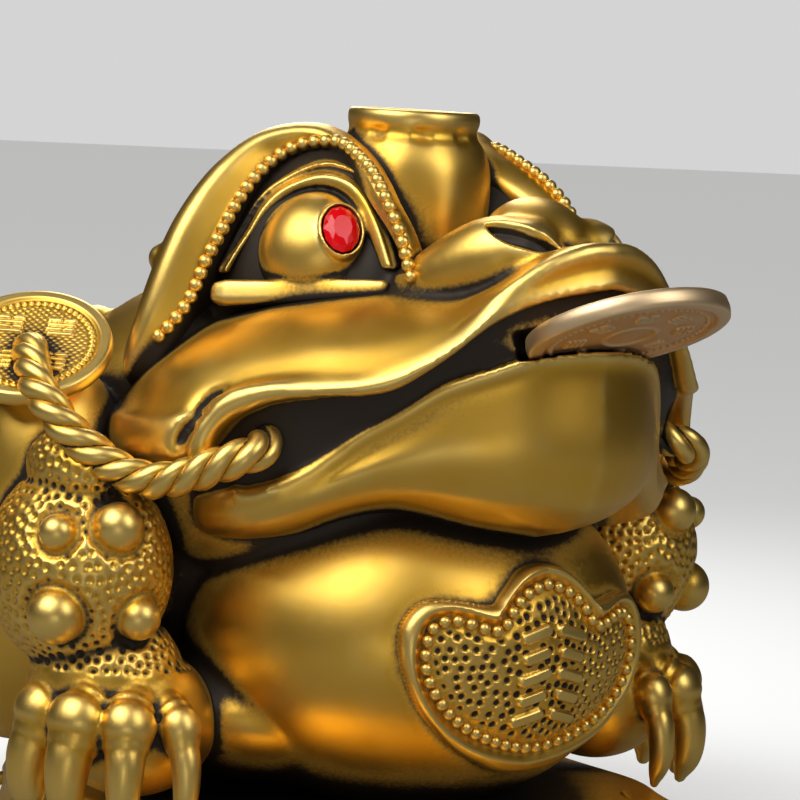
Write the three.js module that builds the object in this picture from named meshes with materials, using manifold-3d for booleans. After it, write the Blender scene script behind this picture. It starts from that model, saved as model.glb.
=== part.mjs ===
// A cast brass money toad: a three-legged toad crouched on a low heaped base, with a loose coin in its
// mouth and a red oval stone in each eye. Millimetres, +Z up, the toad faces -Y, and X = 0 is its mirror plane.
import * as THREE from "three";
import { mergeVertices } from "three/addons/utils/BufferGeometryUtils.js";
import Module from "manifold-3d";

const wasm = await Module();
wasm.setup();

// Driving dimensions
const coinDiameter = 31.6; // the loose coin held in the mouth
const coinThickness = 2.8;
const coinPitch = 24; // degrees that its front is raised
const coinReach = 55.5; // from the head's centre forward to the coin's centre
const coinRise = 16.8; // from the head's centre up to the coin's centre
const coinRim = 2.4; // width of the raised rim
const coinRelief = 0.5; // height of the rim above the field
const slotSideClearance = 1.6; // between the coin's edge and the mouth slot
const slotTopClearance = 1.8;
const fitGap = 0.3; // left between pieces that touch
const gemWidth = 6;
const gemLength = 8;
const gemDepth = 3.2;
const bezelWall = 0.9;
const strungCoinDiameter = 26; // the coins cast along the ropes
const strungCoinThickness = 2.6;
const ropeDiameter = 5.2;
const ropePitch = 11; // length of one full turn of a strand
const baseHeight = 11;
const baseHalfWidth = 53;
const baseHalfLength = 61;
const baseEdgeRound = 2.5;

// Where the parts of the figure sit
const headCentre = new THREE.Vector3(0, -5.1, 76);
const baseSetBack = 4; // centre of the base behind the origin
const degrees = Math.PI / 180;
const rightSide = -1;

// Turns an offset from the head's centre into a point of the part.
const fromHead = (x, y, z) => new THREE.Vector3(x, y, z).add(headCentre);

// Reads a value off a short table of [place, value] keys, smoothly between them.
function along(keys, place) {
  const last = keys.length - 1;
  if (place <= keys[0][0]) return keys[0][1];
  if (place >= keys[last][0]) return keys[last][1];
  const i = keys.findIndex((key) => key[0] > place) - 1;
  const [x0, y0] = keys[i];
  const [x1, y1] = keys[i + 1];
  const slope = (a, b) => (keys[b][1] - keys[a][1]) / (keys[b][0] - keys[a][0]);
  const m0 = slope(Math.max(i - 1, 0), i + 1) * (x1 - x0);
  const m1 = slope(i, Math.min(i + 2, last)) * (x1 - x0);
  const t = (place - x0) / (x1 - x0);
  return (
    (2 * t ** 3 - 3 * t ** 2 + 1) * y0 +
    (t ** 3 - 2 * t ** 2 + t) * m0 +
    (3 * t ** 2 - 2 * t ** 3) * y1 +
    (t ** 3 - t ** 2) * m1
  );
}

const signedPower = (value, power) => Math.sign(value) * Math.abs(value) ** power;

// A geometry from points and faces, with its faces turned outwards.
function geometryOf(points, faces) {
  let volume = 0;
  for (const [a, b, c] of faces) {
    volume += points[a].dot(new THREE.Vector3().crossVectors(points[b], points[c]));
  }
  const turned = volume < 0 ? faces.map(([a, b, c]) => [a, c, b]) : faces;
  const geometry = new THREE.BufferGeometry().setFromPoints(points);
  geometry.setIndex(turned.flat());
  return geometry;
}

// A closed skin of rings between two poles. pointAt(angle, ring) gives each point, and rings 0 and last are the poles.
function lofted(segments, rings, pointAt) {
  const points = [pointAt(0, 0)];
  const faces = [];
  for (let ring = 1; ring < rings; ring++) {
    for (let s = 0; s < segments; s++) points.push(pointAt((2 * Math.PI * s) / segments, ring));
  }
  points.push(pointAt(0, rings));
  const at = (ring, s) => 1 + (ring - 1) * segments + (s % segments);
  for (let s = 0; s < segments; s++) {
    faces.push([0, at(1, s), at(1, s + 1)]);
    for (let ring = 1; ring < rings - 1; ring++) {
      faces.push([at(ring, s), at(ring + 1, s), at(ring + 1, s + 1)]);
      faces.push([at(ring, s), at(ring + 1, s + 1), at(ring, s + 1)]);
    }
    faces.push([points.length - 1, at(rings - 1, s + 1), at(rings - 1, s)]);
  }
  return geometryOf(points, faces);
}

// A round bar along a path of points, closed at both ends. radiusAt(share) is its radius, lobes ripple its section.
function bar(path, radiusAt, { sides = 6, steps = 12, lobes = 0, ripple = 0, turns = 0 } = {}) {
  const curve = new THREE.CatmullRomCurve3(path, false, "centripetal");
  const frames = curve.computeFrenetFrames(steps, false);
  return lofted(sides, steps + 2, (angle, ring) => {
    const step = Math.min(Math.max(ring - 1, 0), steps);
    const share = step / steps;
    const centre = curve.getPointAt(share);
    if (ring === 0 || ring === steps + 2) {
      return centre.addScaledVector(frames.tangents[step], (ring ? 0.5 : -0.5) * radiusAt(share));
    }
    const radius = radiusAt(share) * (1 + ripple * Math.cos(lobes * angle));
    const turned = angle + 2 * Math.PI * turns * share;
    centre.addScaledVector(frames.normals[step], radius * Math.cos(turned));
    return centre.addScaledVector(frames.binormals[step], radius * Math.sin(turned));
  });
}

// An ellipsoid at a centre, turned by Euler angles in degrees.
function ellipsoid(centre, radii, turn = [0, 0, 0], wide = 16, high = 8) {
  const geometry = new THREE.SphereGeometry(1, wide, high);
  geometry.rotateX(90 * degrees);
  geometry.scale(...radii);
  geometry.applyMatrix4(
    new THREE.Matrix4().makeRotationFromEuler(
      new THREE.Euler(turn[0] * degrees, turn[1] * degrees, turn[2] * degrees),
    ),
  );
  return geometry.translate(centre.x, centre.y, centre.z);
}

// A solid from a closed geometry.
function solid(geometry) {
  const bare = geometry.clone();
  bare.deleteAttribute("normal");
  bare.deleteAttribute("uv");
  const merged = mergeVertices(bare, 1e-4);
  return new wasm.Manifold(
    new wasm.Mesh({
      numProp: 3,
      vertProperties: new Float32Array(merged.attributes.position.array),
      triVerts: new Uint32Array(merged.index.array),
    }),
  );
}

// The same shape on the other side of X = 0.
function mirrored(geometry) {
  const other = geometry.clone().scale(-1, 1, 1);
  if (!other.index) other.setIndex([...Array(other.attributes.position.count).keys()]);
  const index = [...other.index.array];
  for (let i = 0; i < index.length; i += 3) [index[i + 1], index[i + 2]] = [index[i + 2], index[i + 1]];
  return other.setIndex(index);
}

// Joins closed geometries into one solid, the second list on both sides of the mirror plane.
function joined(middle, paired = []) {
  const all = [...middle, ...paired, ...paired.map(mirrored)];
  return all.map(solid).reduce((sum, next) => sum.add(next));
}

function meshOf(name, made, material) {
  const mesh = made.getMesh();
  const geometry = new THREE.BufferGeometry();
  const positions = new Float32Array(mesh.numVert * 3);
  for (let v = 0; v < mesh.numVert; v++) {
    for (let k = 0; k < 3; k++) positions[3 * v + k] = mesh.vertProperties[v * mesh.numProp + k];
  }
  geometry.setAttribute("position", new THREE.BufferAttribute(positions, 3));
  geometry.setIndex([...mesh.triVerts]);
  geometry.computeVertexNormals();
  const part = new THREE.Mesh(geometry, material);
  part.name = name;
  return part;
}

// Head. Its plan is a blunt superellipse, and the mouth's lines are heights read by the angle from the front.
const headPlan = { halfWidth: 52, front: 50, back: 45, setBack: -3, blunt: 1.25, full: 0.95 };
const upperLipRidge = [
  [0, 28.9], [8, 28.6], [15, 26.8], [20, 24.4], [26, 20.2], [33, 13.2], [44, 7.8], [56, 5.3], [67, 2.2], [90, -2], [180, -4],
];
const upperLipEdge = [
  [0, 22.8], [5, 22.5], [17, 20.6], [26, 17], [33, 12], [41, 7.5], [48, 4.4], [56, 2.2], [63, -0.5], [68, -4.1], [90, -8], [180, -12],
];
const lowerLipRidge = [
  [0, 13.4], [16, 12.7], [25, 9.6], [33, 6.2], [40, 1.9], [48, -2.5], [56, -7.7], [66, -11.4], [90, -14], [180, -16],
];
const chinLine = [[0, -16.4], [23, -14.9], [40, -13.4], [50, -15], [65, -19.4], [90, -22], [180, -24]];
const browHeight = [[0, 27.5], [12, 26.5], [25, 22], [60, 17], [90, 14], [180, 8]];
const lowerJawShare = [[0, 1], [18, 0.985], [35, 0.92], [50, 0.895], [66, 0.94], [80, 0.88], [110, 0.74], [180, 0.7]];

function planPoint(angle, share, height) {
  const { halfWidth, front, back, setBack, blunt, full } = headPlan;
  const inFront = Math.cos(angle) > 0;
  const power = inFront ? blunt : full;
  const x = halfWidth * share * signedPower(Math.sin(angle), power);
  const y = setBack - (inFront ? front : back) * share * signedPower(Math.cos(angle), power);
  return fromHead(x, y, height);
}

const fromFront = (angle) => Math.abs(Math.atan2(Math.sin(angle), Math.cos(angle))) / degrees;

// The rings of the upper jaw, from its crown to the roof of the mouth: [share of the plan, height].
const upperJawRings = [
  () => [0, 25],
  (a) => [0.4, 11 + 0.58 * along(browHeight, a)],
  (a) => [0.68, along(browHeight, a)],
  (a) => [0.86, 0.45 * along(browHeight, a) + 0.55 * along(upperLipRidge, a) + 0.8],
  (a) => [0.95, along(upperLipRidge, a) + 0.8],
  (a) => [1, 0.6 * along(upperLipRidge, a) + 0.4 * along(upperLipEdge, a)],
  (a) => [0.985, along(upperLipEdge, a)],
  (a) => [0.9, along(upperLipEdge, a) + 0.8],
  () => [0, 2],
];

const lowerJawRings = [
  () => [0, 0],
  (a) => [0.88 * along(lowerJawShare, a), along(lowerLipRidge, a) - 1],
  (a) => [0.95 * along(lowerJawShare, a), along(lowerLipRidge, a)],
  (a) => [0.985 * along(lowerJawShare, a), along(lowerLipRidge, a) - 2.4],
  (a) => [0.975 * along(lowerJawShare, a), 0.5 * along(lowerLipRidge, a) + 0.5 * along(chinLine, a)],
  (a) => [0.93 * along(lowerJawShare, a), 0.18 * along(lowerLipRidge, a) + 0.82 * along(chinLine, a)],
  (a) => [0.8 * along(lowerJawShare, a), along(chinLine, a)],
  () => [0, -24],
];

function jaw(rings, segments) {
  return lofted(segments, rings.length - 1, (angle, ring) => {
    const [share, height] = rings[ring](fromFront(angle));
    return planPoint(angle, share, height);
  });
}

// What closes the mouth behind the lips, leaning in towards the lower one.
function mouthFloor() {
  const lowerInset = 0.93;
  const upperInset = 0.925;
  return lofted(18, 3, (angle, ring) => {
    const a = fromFront(angle);
    const shares = [0, lowerInset * along(lowerJawShare, a), upperInset, 0];
    const heights = [-6, along(lowerLipRidge, a) - 3, along(upperLipEdge, a) + 3, 8];
    return planPoint(angle, shares[ring], heights[ring]);
  });
}

// The roll of flesh that runs round the corner of the mouth.
function mouthCorner() {
  const path = [
    fromHead(-41.5, -28.5, 5.2),
    fromHead(-45.4, -21.6, 3),
    fromHead(-47.4, -16.2, 0.2),
    fromHead(-48.6, -13.4, -3.4),
    fromHead(-48, -15, -7),
    fromHead(-45.6, -20.4, -8.6),
  ];
  return bar(path, (share) => 1.8 + 1.6 * Math.sin(Math.PI * share), { sides: 5, steps: 8 });
}

// The nose is a bulb between two wings.
function nose() {
  return ellipsoid(fromHead(0, -32.5, 27), [8.4, 11, 8.8], [10, 0, 0], 10, 6);
}

function nostril() {
  return ellipsoid(fromHead(-7.6, -33, 26.6), [6.6, 11.4, 7], [14, 0, 4], 9, 5);
}

function nostrilSlit() {
  return ellipsoid(fromHead(-10.6, -37.4, 30.4), [1.7, 6.4, 2.6], [12, -30, -6], 8, 5);
}

// Eye. The brow is an arch of flesh that leans in at its top.
const browArch = [
  fromHead(-14.6, -22.4, 18),
  fromHead(-17.2, -21.2, 27),
  fromHead(-18.6, -16.4, 33.5),
  fromHead(-16.8, -9.5, 37.3),
  fromHead(-15, -2.5, 39.8),
  fromHead(-16.8, 4.6, 41.4),
  fromHead(-22, 9.2, 39.6),
  fromHead(-28.6, 10, 34.2),
  fromHead(-34.8, 9.8, 26),
  fromHead(-40, 11.4, 11),
  fromHead(-41.4, 12.6, 4),
];
const eyeCentre = fromHead(-19.4, -3.8, 24);
const eyeRadius = 9.6;
const gemFacing = { around: -24, up: 28 }; // degrees from straight ahead

// A direction by its angles: around from -Y towards +X, and up from level.
function facing(around, up) {
  return new THREE.Vector3(
    Math.sin(around * degrees) * Math.cos(up * degrees),
    -Math.cos(around * degrees) * Math.cos(up * degrees),
    Math.sin(up * degrees),
  );
}

// A frame whose +Z looks along a direction, with +Y as near upright as it can be.
function frameFacing(centre, direction) {
  const side = new THREE.Vector3(0, 0, 1).cross(direction).normalize();
  const upright = direction.clone().cross(side);
  return new THREE.Matrix4().makeBasis(side, upright, direction).setPosition(centre);
}

const eyeFrame = frameFacing(eyeCentre, facing(-58, 14));
const inEye = (x, y, z) => new THREE.Vector3(x, y, z).applyMatrix4(eyeFrame);

function brow() {
  return [
    bar(browArch, (share) => 2.5 + 0.8 * Math.sin(Math.PI * share) ** 0.6, { sides: 6, steps: 16 }),
    ellipsoid(fromHead(-17, 8, 17), [14.5, 14.5, 23.4], [8, 10, 0], 10, 6),
    ellipsoid(fromHead(-15, -8, 20), [9.5, 13, 15], [0, 10, 0], 8, 5),
    ellipsoid(fromHead(-33, 17, 12), [8.5, 8, 16.5], [-6, -14, 0], 8, 5),
  ];
}

function eyeball() {
  return ellipsoid(eyeCentre, [eyeRadius, eyeRadius, eyeRadius], [0, 0, 0], 11, 7);
}

// The upper lid, an arch round the eyeball, and the ledge of the lower lid.
function lids() {
  const arch = [];
  const lidSteps = 8;
  for (let i = 0; i <= lidSteps; i++) {
    const angle = (-20 + (220 * i) / lidSteps) * degrees;
    arch.push(inEye(12.2 * Math.cos(angle), 11.4 * Math.sin(angle), 3.4));
  }
  const ledge = [inEye(-13.5, -6.8, 5), inEye(-5, -7, 7.4), inEye(5, -7, 7), inEye(12.5, -6.4, 4)];
  return [
    bar(arch, () => 2.1, { sides: 5, steps: 8 }),
    bar(ledge, () => 2, { sides: 4, steps: 3 }),
  ];
}

const gemDirection = facing(gemFacing.around, gemFacing.up);
const gemSeat = frameFacing(eyeCentre.clone().addScaledVector(gemDirection, eyeRadius), gemDirection);

// An oval prism in the gem's frame, from one depth to another.
function oval(width, length, from, to, sides = 16) {
  return lofted(sides, 3, (angle, ring) => {
    const reach = ring === 1 || ring === 2 ? 0.5 : 0;
    return new THREE.Vector3(
      width * reach * Math.cos(angle),
      length * reach * Math.sin(angle),
      ring < 2 ? from : to,
    ).applyMatrix4(gemSeat);
  });
}

// Pot on the crown, a jar with a rolled rim
const pot = { setBack: 0.8, foot: 14, neck: 43.4, top: 47.8, belly: 13.4, mouth: 11.2 };

function crownPot() {
  const profile = [
    [0, pot.foot],
    [8.6, pot.foot],
    [pot.belly - 1, 23],
    [pot.belly, 30],
    [pot.belly - 0.3, 36],
    [pot.mouth + 0.2, pot.neck],
    [pot.mouth, pot.top - 0.8],
    [pot.mouth - 1, pot.top],
    [pot.mouth - 2.2, pot.top - 1],
    [0, pot.top - 1.4],
  ].map(([radius, height]) => new THREE.Vector2(radius, height));
  const geometry = new THREE.LatheGeometry(profile, 13).rotateX(90 * degrees);
  const centre = fromHead(0, pot.setBack, 0);
  return geometry.translate(centre.x, centre.y, centre.z);
}

// Body: ellipsoids of flesh, [centre from the head's centre], [radii], [turn]
const belly = { centre: fromHead(0, -4, -36.5), radii: [38.2, 38.2, 30] };
const back = { centre: fromHead(0, 30, -20), radii: [49, 43, 41] };

function trunk() {
  return [
    ellipsoid(belly.centre, belly.radii, [0, 0, 0], 18, 9),
    ellipsoid(back.centre, back.radii, [0, 0, 0], 14, 8),
    ellipsoid(fromHead(0, 9, -14), [46, 36, 22], [0, 0, 0], 10, 4),
    ellipsoid(fromHead(0, 22, -50), [50, 48, 16], [0, 0, 0], 14, 5),
  ];
}

const arm = { centre: fromHead(-55.7, 8.5, -27), radii: [14.2, 16.5, 17] };
const haunch = { centre: fromHead(-42, 46, -36), radii: [22, 28, 26] };

function limbs() {
  return [
    ellipsoid(arm.centre, arm.radii, [0, 0, 0], 12, 7),
    ellipsoid(fromHead(-51.6, 5, -46.4), [12.5, 13.5, 14], [0, 0, 0], 8, 6),
    ellipsoid(fromHead(-52, 26, -14), [13, 15, 19.5], [0, 0, 0], 9, 6),
    ellipsoid(fromHead(-58.5, 7, -11), [6.5, 10, 6.5], [0, 0, 0], 7, 4),
    ellipsoid(haunch.centre, haunch.radii, [0, 0, 0], 10, 7),
  ];
}

// A toe: a knuckled bar that arches out from the foot, and a claw that curves down from it.
function toe(root, around, length, thick, tip) {
  const out = facing(around, 0);
  const at = (share, rise) => root.clone().addScaledVector(out, length * share).setZ(root.z + rise);
  const knuckles = bar(
    [at(0, 0), at(0.5, 1.6), at(0.86, 0.4), at(1.02, -3)],
    (share) => thick * (0.94 + 0.1 * Math.cos(4 * Math.PI * share)),
    { sides: 5, steps: 4 },
  );
  const claw = bar(
    [at(0.98, -2), at(1.14, -5.5), at(1.19, -10.5), at(1.08, tip)],
    (share) => thick * (0.66 - 0.5 * share),
    { sides: 4, steps: 3 },
  );
  return [knuckles, claw];
}

function frontFoot() {
  const heel = fromHead(-48.4, 1.8, -51);
  const spread = [-103, -69, -37, -3];
  const thickness = [5.8, 5.6, 4.8, 3.6];
  const toes = spread.flatMap((around, i) => {
    const root = heel.clone().addScaledVector(facing(around, 0), 5).setZ(heel.z + 1.6);
    return toe(root, around, 10.2, thickness[i], -15.5);
  });
  return [ellipsoid(heel, [13.6, 13.2, 12], [0, 0, 0], 8, 6), ...toes];
}

// The single hind leg comes down the middle of the back and turns its toes out behind.
function hindLeg() {
  const thigh = [fromHead(0, 58, -16), fromHead(0, 68, -28), fromHead(0, 68, -46), fromHead(0, 64, -60)];
  const heel = fromHead(0, 64, -56);
  const toes = [145, 180, 215].flatMap((around) => toe(heel, around, 9, 3.8, -11));
  return [bar(thigh, (share) => 14 - 4.5 * share, { sides: 8, steps: 4 }), ...toes];
}

// Warts on an ellipsoid: [around, up, radius], the angles in degrees from its centre.
function warts(host, list) {
  return list.map(([around, up, radius]) => {
    const out = facing(around, up);
    const reach = 1 / Math.hypot(out.x / host.radii[0], out.y / host.radii[1], out.z / host.radii[2]);
    const centre = host.centre.clone().addScaledVector(out, reach - 0.15 * radius);
    return ellipsoid(centre, [radius, radius, radius], [0, 0, 0], 6, 3);
  });
}

// Coins on the ropes: [centre], [around, up] of the face
const strungCoins = [
  { centre: fromHead(-58.5, 21.6, 6.4), around: -44, up: 54, hole: 0 }, // the rope's end covers its middle
  { centre: fromHead(-66, 29.4, -15.4), around: -52, up: 8, hole: 5 },
];

// A round coin in the XY plane of its frame, with a raised rim, on both faces if it is backed, and a square hole
// of the given side.
function coinSolid(frame, diameter, thickness, hole, rim, relief, sides, backed = true) {
  const radius = diameter / 2;
  const half = thickness / 2;
  const face = [
    [radius, half],
    [radius - 0.8 * rim, half],
    [radius - rim, half - relief],
    [0, half - relief],
  ];
  const back = backed ? face.map(([x, y]) => [x, -y]).reverse() : [[0, -half], [radius, -half]];
  const profile = [...back, ...face].map(([x, y]) => new THREE.Vector2(x, y));
  const disc = new THREE.LatheGeometry(profile, sides).rotateX(90 * degrees);
  const whole = solid(disc.applyMatrix4(frame));
  if (!hole) return whole;
  const punch = new THREE.BoxGeometry(hole, hole, 2 * thickness);
  return whole.subtract(solid(punch.applyMatrix4(frame)));
}

// Two ropes on each side: from the corner of the mouth into the first coin, and on along the flank to the tail.
const ropeRoutes = [
  [
    fromHead(-41.4, -25.4, -3),
    fromHead(-45.6, -21.8, -5.4),
    fromHead(-49, -18.4, -7.9),
    fromHead(-52.2, -13.4, -10.3),
    fromHead(-54.8, -8.2, -11.3),
    fromHead(-58, -3, -9.7),
    fromHead(-62.1, 1.6, -5.6),
    fromHead(-64.6, 5.4, -1.2),
    fromHead(-64.8, 9.4, 1.9),
    fromHead(-63.4, 13.2, 4.4),
    fromHead(-61.3, 17.4, 6.2),
    fromHead(-58.4, 21.6, 6),
  ],
  [
    fromHead(-56, 25, 4.6),
    fromHead(-57, 34, -2),
    fromHead(-55, 45, -8),
    fromHead(-48, 56, -12),
    fromHead(-37, 65, -14),
    fromHead(-22, 71.5, -14),
    fromHead(-8, 74, -12),
  ],
];

// The front rope shows its twist, and the one along the flank is plain.
function rope(route, order) {
  const length = new THREE.CatmullRomCurve3(route, false, "centripetal").getLength();
  if (order) return bar(route, () => ropeDiameter * 0.48, { sides: 5, steps: Math.round(length / 7) });
  return bar(route, () => ropeDiameter * 0.47, {
    sides: 6,
    steps: Math.round(length / 4),
    lobes: 2,
    ripple: 0.14,
    turns: length / ropePitch,
  });
}

// Plaque on the belly: a broad cloud-head shape with three lobes above a rounded foot. Its outline is what
// shows of overlapping discs, each [to both sides, up, radius] from the plaque's middle.
const plaque = { rise: -4, proud: 2.4 };
const plaqueDiscs = [[0, 7.5, 10.5], [17.2, 5.2, 8.6], [10, -1.2, 9.2], [4, -1.2, 12.2], [0, -0.6, 14]];

// The outline's reach from the middle, by the angle from straight down.
function plaqueReach(angle) {
  const reaches = plaqueDiscs.map(([across, up, radius]) => {
    const distance = Math.hypot(across, up);
    const turn = Math.abs(angle) - Math.atan2(across, -up);
    const inside = radius ** 2 - (distance * Math.sin(turn)) ** 2;
    return inside < 0 ? 0 : distance * Math.cos(turn) + Math.sqrt(inside);
  });
  return Math.max(...reaches);
}

// A point of the belly at an arc to the side and a height from its middle, raised by some amount.
function onBelly(sideways, height, raised) {
  const up = Math.asin(THREE.MathUtils.clamp(height / belly.radii[2], -0.98, 0.98));
  const around = sideways / (belly.radii[0] * Math.max(Math.cos(up), 0.5));
  const out = new THREE.Vector3(Math.sin(around) * Math.cos(up), -Math.cos(around) * Math.cos(up), Math.sin(up));
  const point = out.clone().multiply(new THREE.Vector3(...belly.radii));
  const normal = out.clone().divide(new THREE.Vector3(...belly.radii)).normalize();
  return belly.centre.clone().add(point).addScaledVector(normal, raised);
}

function plaqueBoss() {
  const rings = [
    [0, plaque.proud - 1],
    [0.5, plaque.proud - 1],
    [0.76, plaque.proud - 1],
    [0.81, plaque.proud],
    [0.93, plaque.proud],
    [1, -0.8],
    [0, -6],
  ];
  return lofted(36, rings.length - 1, (turn, ring) => {
    const [share, raised] = rings[ring];
    const angle = turn > Math.PI ? turn - 2 * Math.PI : turn;
    const reach = share * plaqueReach(angle);
    return onBelly(reach * Math.sin(angle), plaque.rise - reach * Math.cos(angle), raised);
  });
}

// Base: a low oval heap
function base() {
  const rings = [[0, 0], [1, 0], [1, baseHeight - baseEdgeRound], [0.97, baseHeight], [0, baseHeight + 1]];
  return lofted(22, rings.length - 1, (angle, ring) => {
    const [share, height] = rings[ring];
    return new THREE.Vector3(
      baseHalfWidth * share * signedPower(Math.sin(angle), 0.9),
      baseSetBack - baseHalfLength * share * signedPower(Math.cos(angle), 0.9),
      height,
    );
  });
}

// The casting
const brass = new THREE.MeshStandardMaterial({ color: 0xb8862b, roughness: 0.34, metalness: 1 });
const coinBrass = new THREE.MeshStandardMaterial({ color: 0xc0925a, roughness: 0.4, metalness: 1 });
const redStone = new THREE.MeshStandardMaterial({ color: 0xc8101c, roughness: 0.05, metalness: 0 });

const coinNormal = facing(0, coinPitch - 90).negate();
const coinFrame = frameFacing(fromHead(0, -coinReach, coinRise), coinNormal);

function mouthSlot() {
  const reach = coinDiameter / 2 + slotSideClearance;
  const low = -coinThickness / 2 - fitGap;
  const high = coinThickness / 2 + slotTopClearance;
  const geometry = new THREE.CylinderGeometry(reach, reach, high - low, 32).rotateX(90 * degrees);
  return geometry.translate(0, 0, (low + high) / 2).applyMatrix4(coinFrame);
}

function casting() {
  const paired = [
    mouthCorner(),
    nostril(),
    ...brow(),
    eyeball(),
    ...lids(),
    ...limbs(),
    ...frontFoot(),
    ...ropeRoutes.map(rope),
    ...warts(arm, [[-49, 27, 3.4], [-8, 30, 4.5], [-47, -25, 5], [8, -23, 4]]),
    ...warts(haunch, [[-95, 20, 5]]),
    ...warts(back, [[-150, 56, 5], [-128, 38, 4.4]]),
  ];
  const middle = [
    nose(),
    jaw(upperJawRings, 28),
    jaw(lowerJawRings, 24),
    mouthFloor(),
    ...trunk(),
    crownPot(),
    ...hindLeg(),
    plaqueBoss(),
    base(),
  ];
  const coins = strungCoins.map(({ centre, around, up, hole }) =>
    coinSolid(frameFacing(centre, facing(around, up)), strungCoinDiameter, strungCoinThickness, hole, 2, 0.4, 12, false),
  );
  let made = joined(middle, paired);
  for (const coin of coins) {
    made = made.add(coin).add(coin.mirror([1, 0, 0]));
  }
  made = made.subtract(solid(mouthSlot()));
  const cuts = [nostrilSlit(), oval(gemWidth + 2 * fitGap, gemLength + 2 * fitGap, -gemDepth / 2 - fitGap, 6)];
  const bezel = oval(gemWidth + 2 * bezelWall, gemLength + 2 * bezelWall, -gemDepth, 0.5);
  for (const both of [bezel, mirrored(bezel)]) made = made.add(solid(both));
  for (const cut of cuts.flatMap((one) => [one, mirrored(one)])) made = made.subtract(solid(cut));
  return made;
}

// The stone: a domed table over a girdle and a shallow back.
function gem(side) {
  const rings = [[0, -0.5], [0.5, -0.42], [1, -0.1], [1, 0.05], [0.62, 0.42], [0, 0.46]];
  const geometry = lofted(12, rings.length - 1, (angle, ring) => {
    const [share, depth] = rings[ring];
    return new THREE.Vector3(
      (gemWidth / 2) * share * Math.cos(angle),
      (gemLength / 2) * share * Math.sin(angle),
      gemDepth * depth,
    ).applyMatrix4(gemSeat);
  });
  return solid(side === rightSide ? geometry : mirrored(geometry));
}

const toad = new THREE.Group();
toad.add(
  meshOf("toad_casting", casting(), brass),
  meshOf(
    "mouth_coin",
    coinSolid(coinFrame, coinDiameter, coinThickness, 0, coinRim, coinRelief, 30),
    coinBrass,
  ),
  meshOf("right_eye_stone", gem(rightSide), redStone),
  meshOf("left_eye_stone", gem(-rightSide), redStone),
);

export default toad;
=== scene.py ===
import bmesh
import bpy
import math
import time
import numpy as np
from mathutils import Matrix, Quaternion, Vector
from mathutils.bvhtree import BVHTree
from mathutils.kdtree import KDTree


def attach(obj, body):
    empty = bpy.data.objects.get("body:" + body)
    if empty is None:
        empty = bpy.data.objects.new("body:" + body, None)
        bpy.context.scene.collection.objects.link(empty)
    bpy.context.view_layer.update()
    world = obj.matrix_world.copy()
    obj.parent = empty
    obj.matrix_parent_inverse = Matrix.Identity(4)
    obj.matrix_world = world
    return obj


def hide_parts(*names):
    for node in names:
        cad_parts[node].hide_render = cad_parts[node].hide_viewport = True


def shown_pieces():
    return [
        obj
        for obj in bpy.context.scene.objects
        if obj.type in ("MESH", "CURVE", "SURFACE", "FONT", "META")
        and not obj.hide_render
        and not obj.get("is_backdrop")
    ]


started = time.time()
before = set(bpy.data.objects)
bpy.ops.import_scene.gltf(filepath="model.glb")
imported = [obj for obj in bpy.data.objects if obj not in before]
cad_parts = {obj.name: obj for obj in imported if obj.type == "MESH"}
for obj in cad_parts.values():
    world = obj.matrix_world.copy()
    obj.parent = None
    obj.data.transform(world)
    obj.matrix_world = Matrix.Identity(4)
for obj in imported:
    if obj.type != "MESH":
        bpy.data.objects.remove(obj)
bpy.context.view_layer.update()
bpy.ops.object.select_all(action="DESELECT")
mm = 0.001  # the numbers below are millimetres, and meshes are made in metres
dice = np.random.default_rng(8)

# The toad faces -Y and X = 0 is its mirror plane. Most places are offsets from the middle of the head.
headCentre = np.array((0.0, -5.1, 76.0))


def fromHead(x, y, z):
    return headCentre + (x, y, z)


def say(stage):
    print(f"{stage}: {time.time() - started:.0f} s")


# Camera first, because some small forms are placed by where the photograph shows them
shot = {
    "azimuth": -38,  # degrees round from the front, to the toad's right
    "elevation": 5,
    "roll": 3.5,
    "distance": 620,
    "perPixel": 0.165,  # on the plane through the head's middle
    "pixels": 800,
}


def towards(around, up):
    a, e = math.radians(around), math.radians(up)
    return np.array((math.sin(a) * math.cos(e), -math.cos(a) * math.cos(e), math.sin(e)))


def addCamera():
    data = bpy.data.cameras.new("camera")
    made = bpy.data.objects.new("camera", data)
    bpy.context.scene.collection.objects.link(made)
    back = Vector(towards(shot["azimuth"], shot["elevation"]))
    made.location = (Vector(headCentre) + back * shot["distance"]) * mm
    made.rotation_mode = "QUATERNION"
    roll = Quaternion((0, 0, 1), math.radians(shot["roll"]))
    made.rotation_quaternion = back.to_track_quat("Z", "Y") @ roll
    data.sensor_width = 36
    data.lens = 36 * shot["distance"] / (shot["perPixel"] * shot["pixels"])
    data.clip_start, data.clip_end = 0.01, 20
    bpy.context.scene.camera = made
    return made


camera = addCamera()
viewpoint = np.array(camera.location) / mm


# The line of sight through a pixel of the 800 x 800 photograph
def sight(x, y):
    turn = camera.rotation_quaternion.to_matrix()
    half = shot["pixels"] / 2
    look = Vector(((x - half) * shot["perPixel"], (half - y) * shot["perPixel"], -shot["distance"]))
    return np.array((turn @ look).normalized())


# Where a point is seen in the picture
def seenAt(points):
    local = (points - viewpoint) @ np.array(camera.rotation_quaternion.to_matrix())
    flat = local[:, :2] * (1, -1) / -local[:, 2:]
    return flat * shot["distance"] / shot["perPixel"] + shot["pixels"] / 2


# The places on the pieces that are seen at some pixels. A pixel that misses them is left out.
def onPieces(pixels, pieces, raised=0.0):
    trees = [treeOf(piece) for piece in pieces]
    places = []
    for x, y in pixels:
        look = Vector(sight(x, y))
        hits = [tree.ray_cast(Vector(viewpoint) * mm, look) for tree in trees]
        hits = [hit for hit in hits if hit[0] is not None]
        if hits:
            place, normal, _, _ = min(hits, key=lambda hit: hit[3])
            places.append(np.array(place) / mm + raised * np.array(normal))
    return np.array(places)


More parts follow.
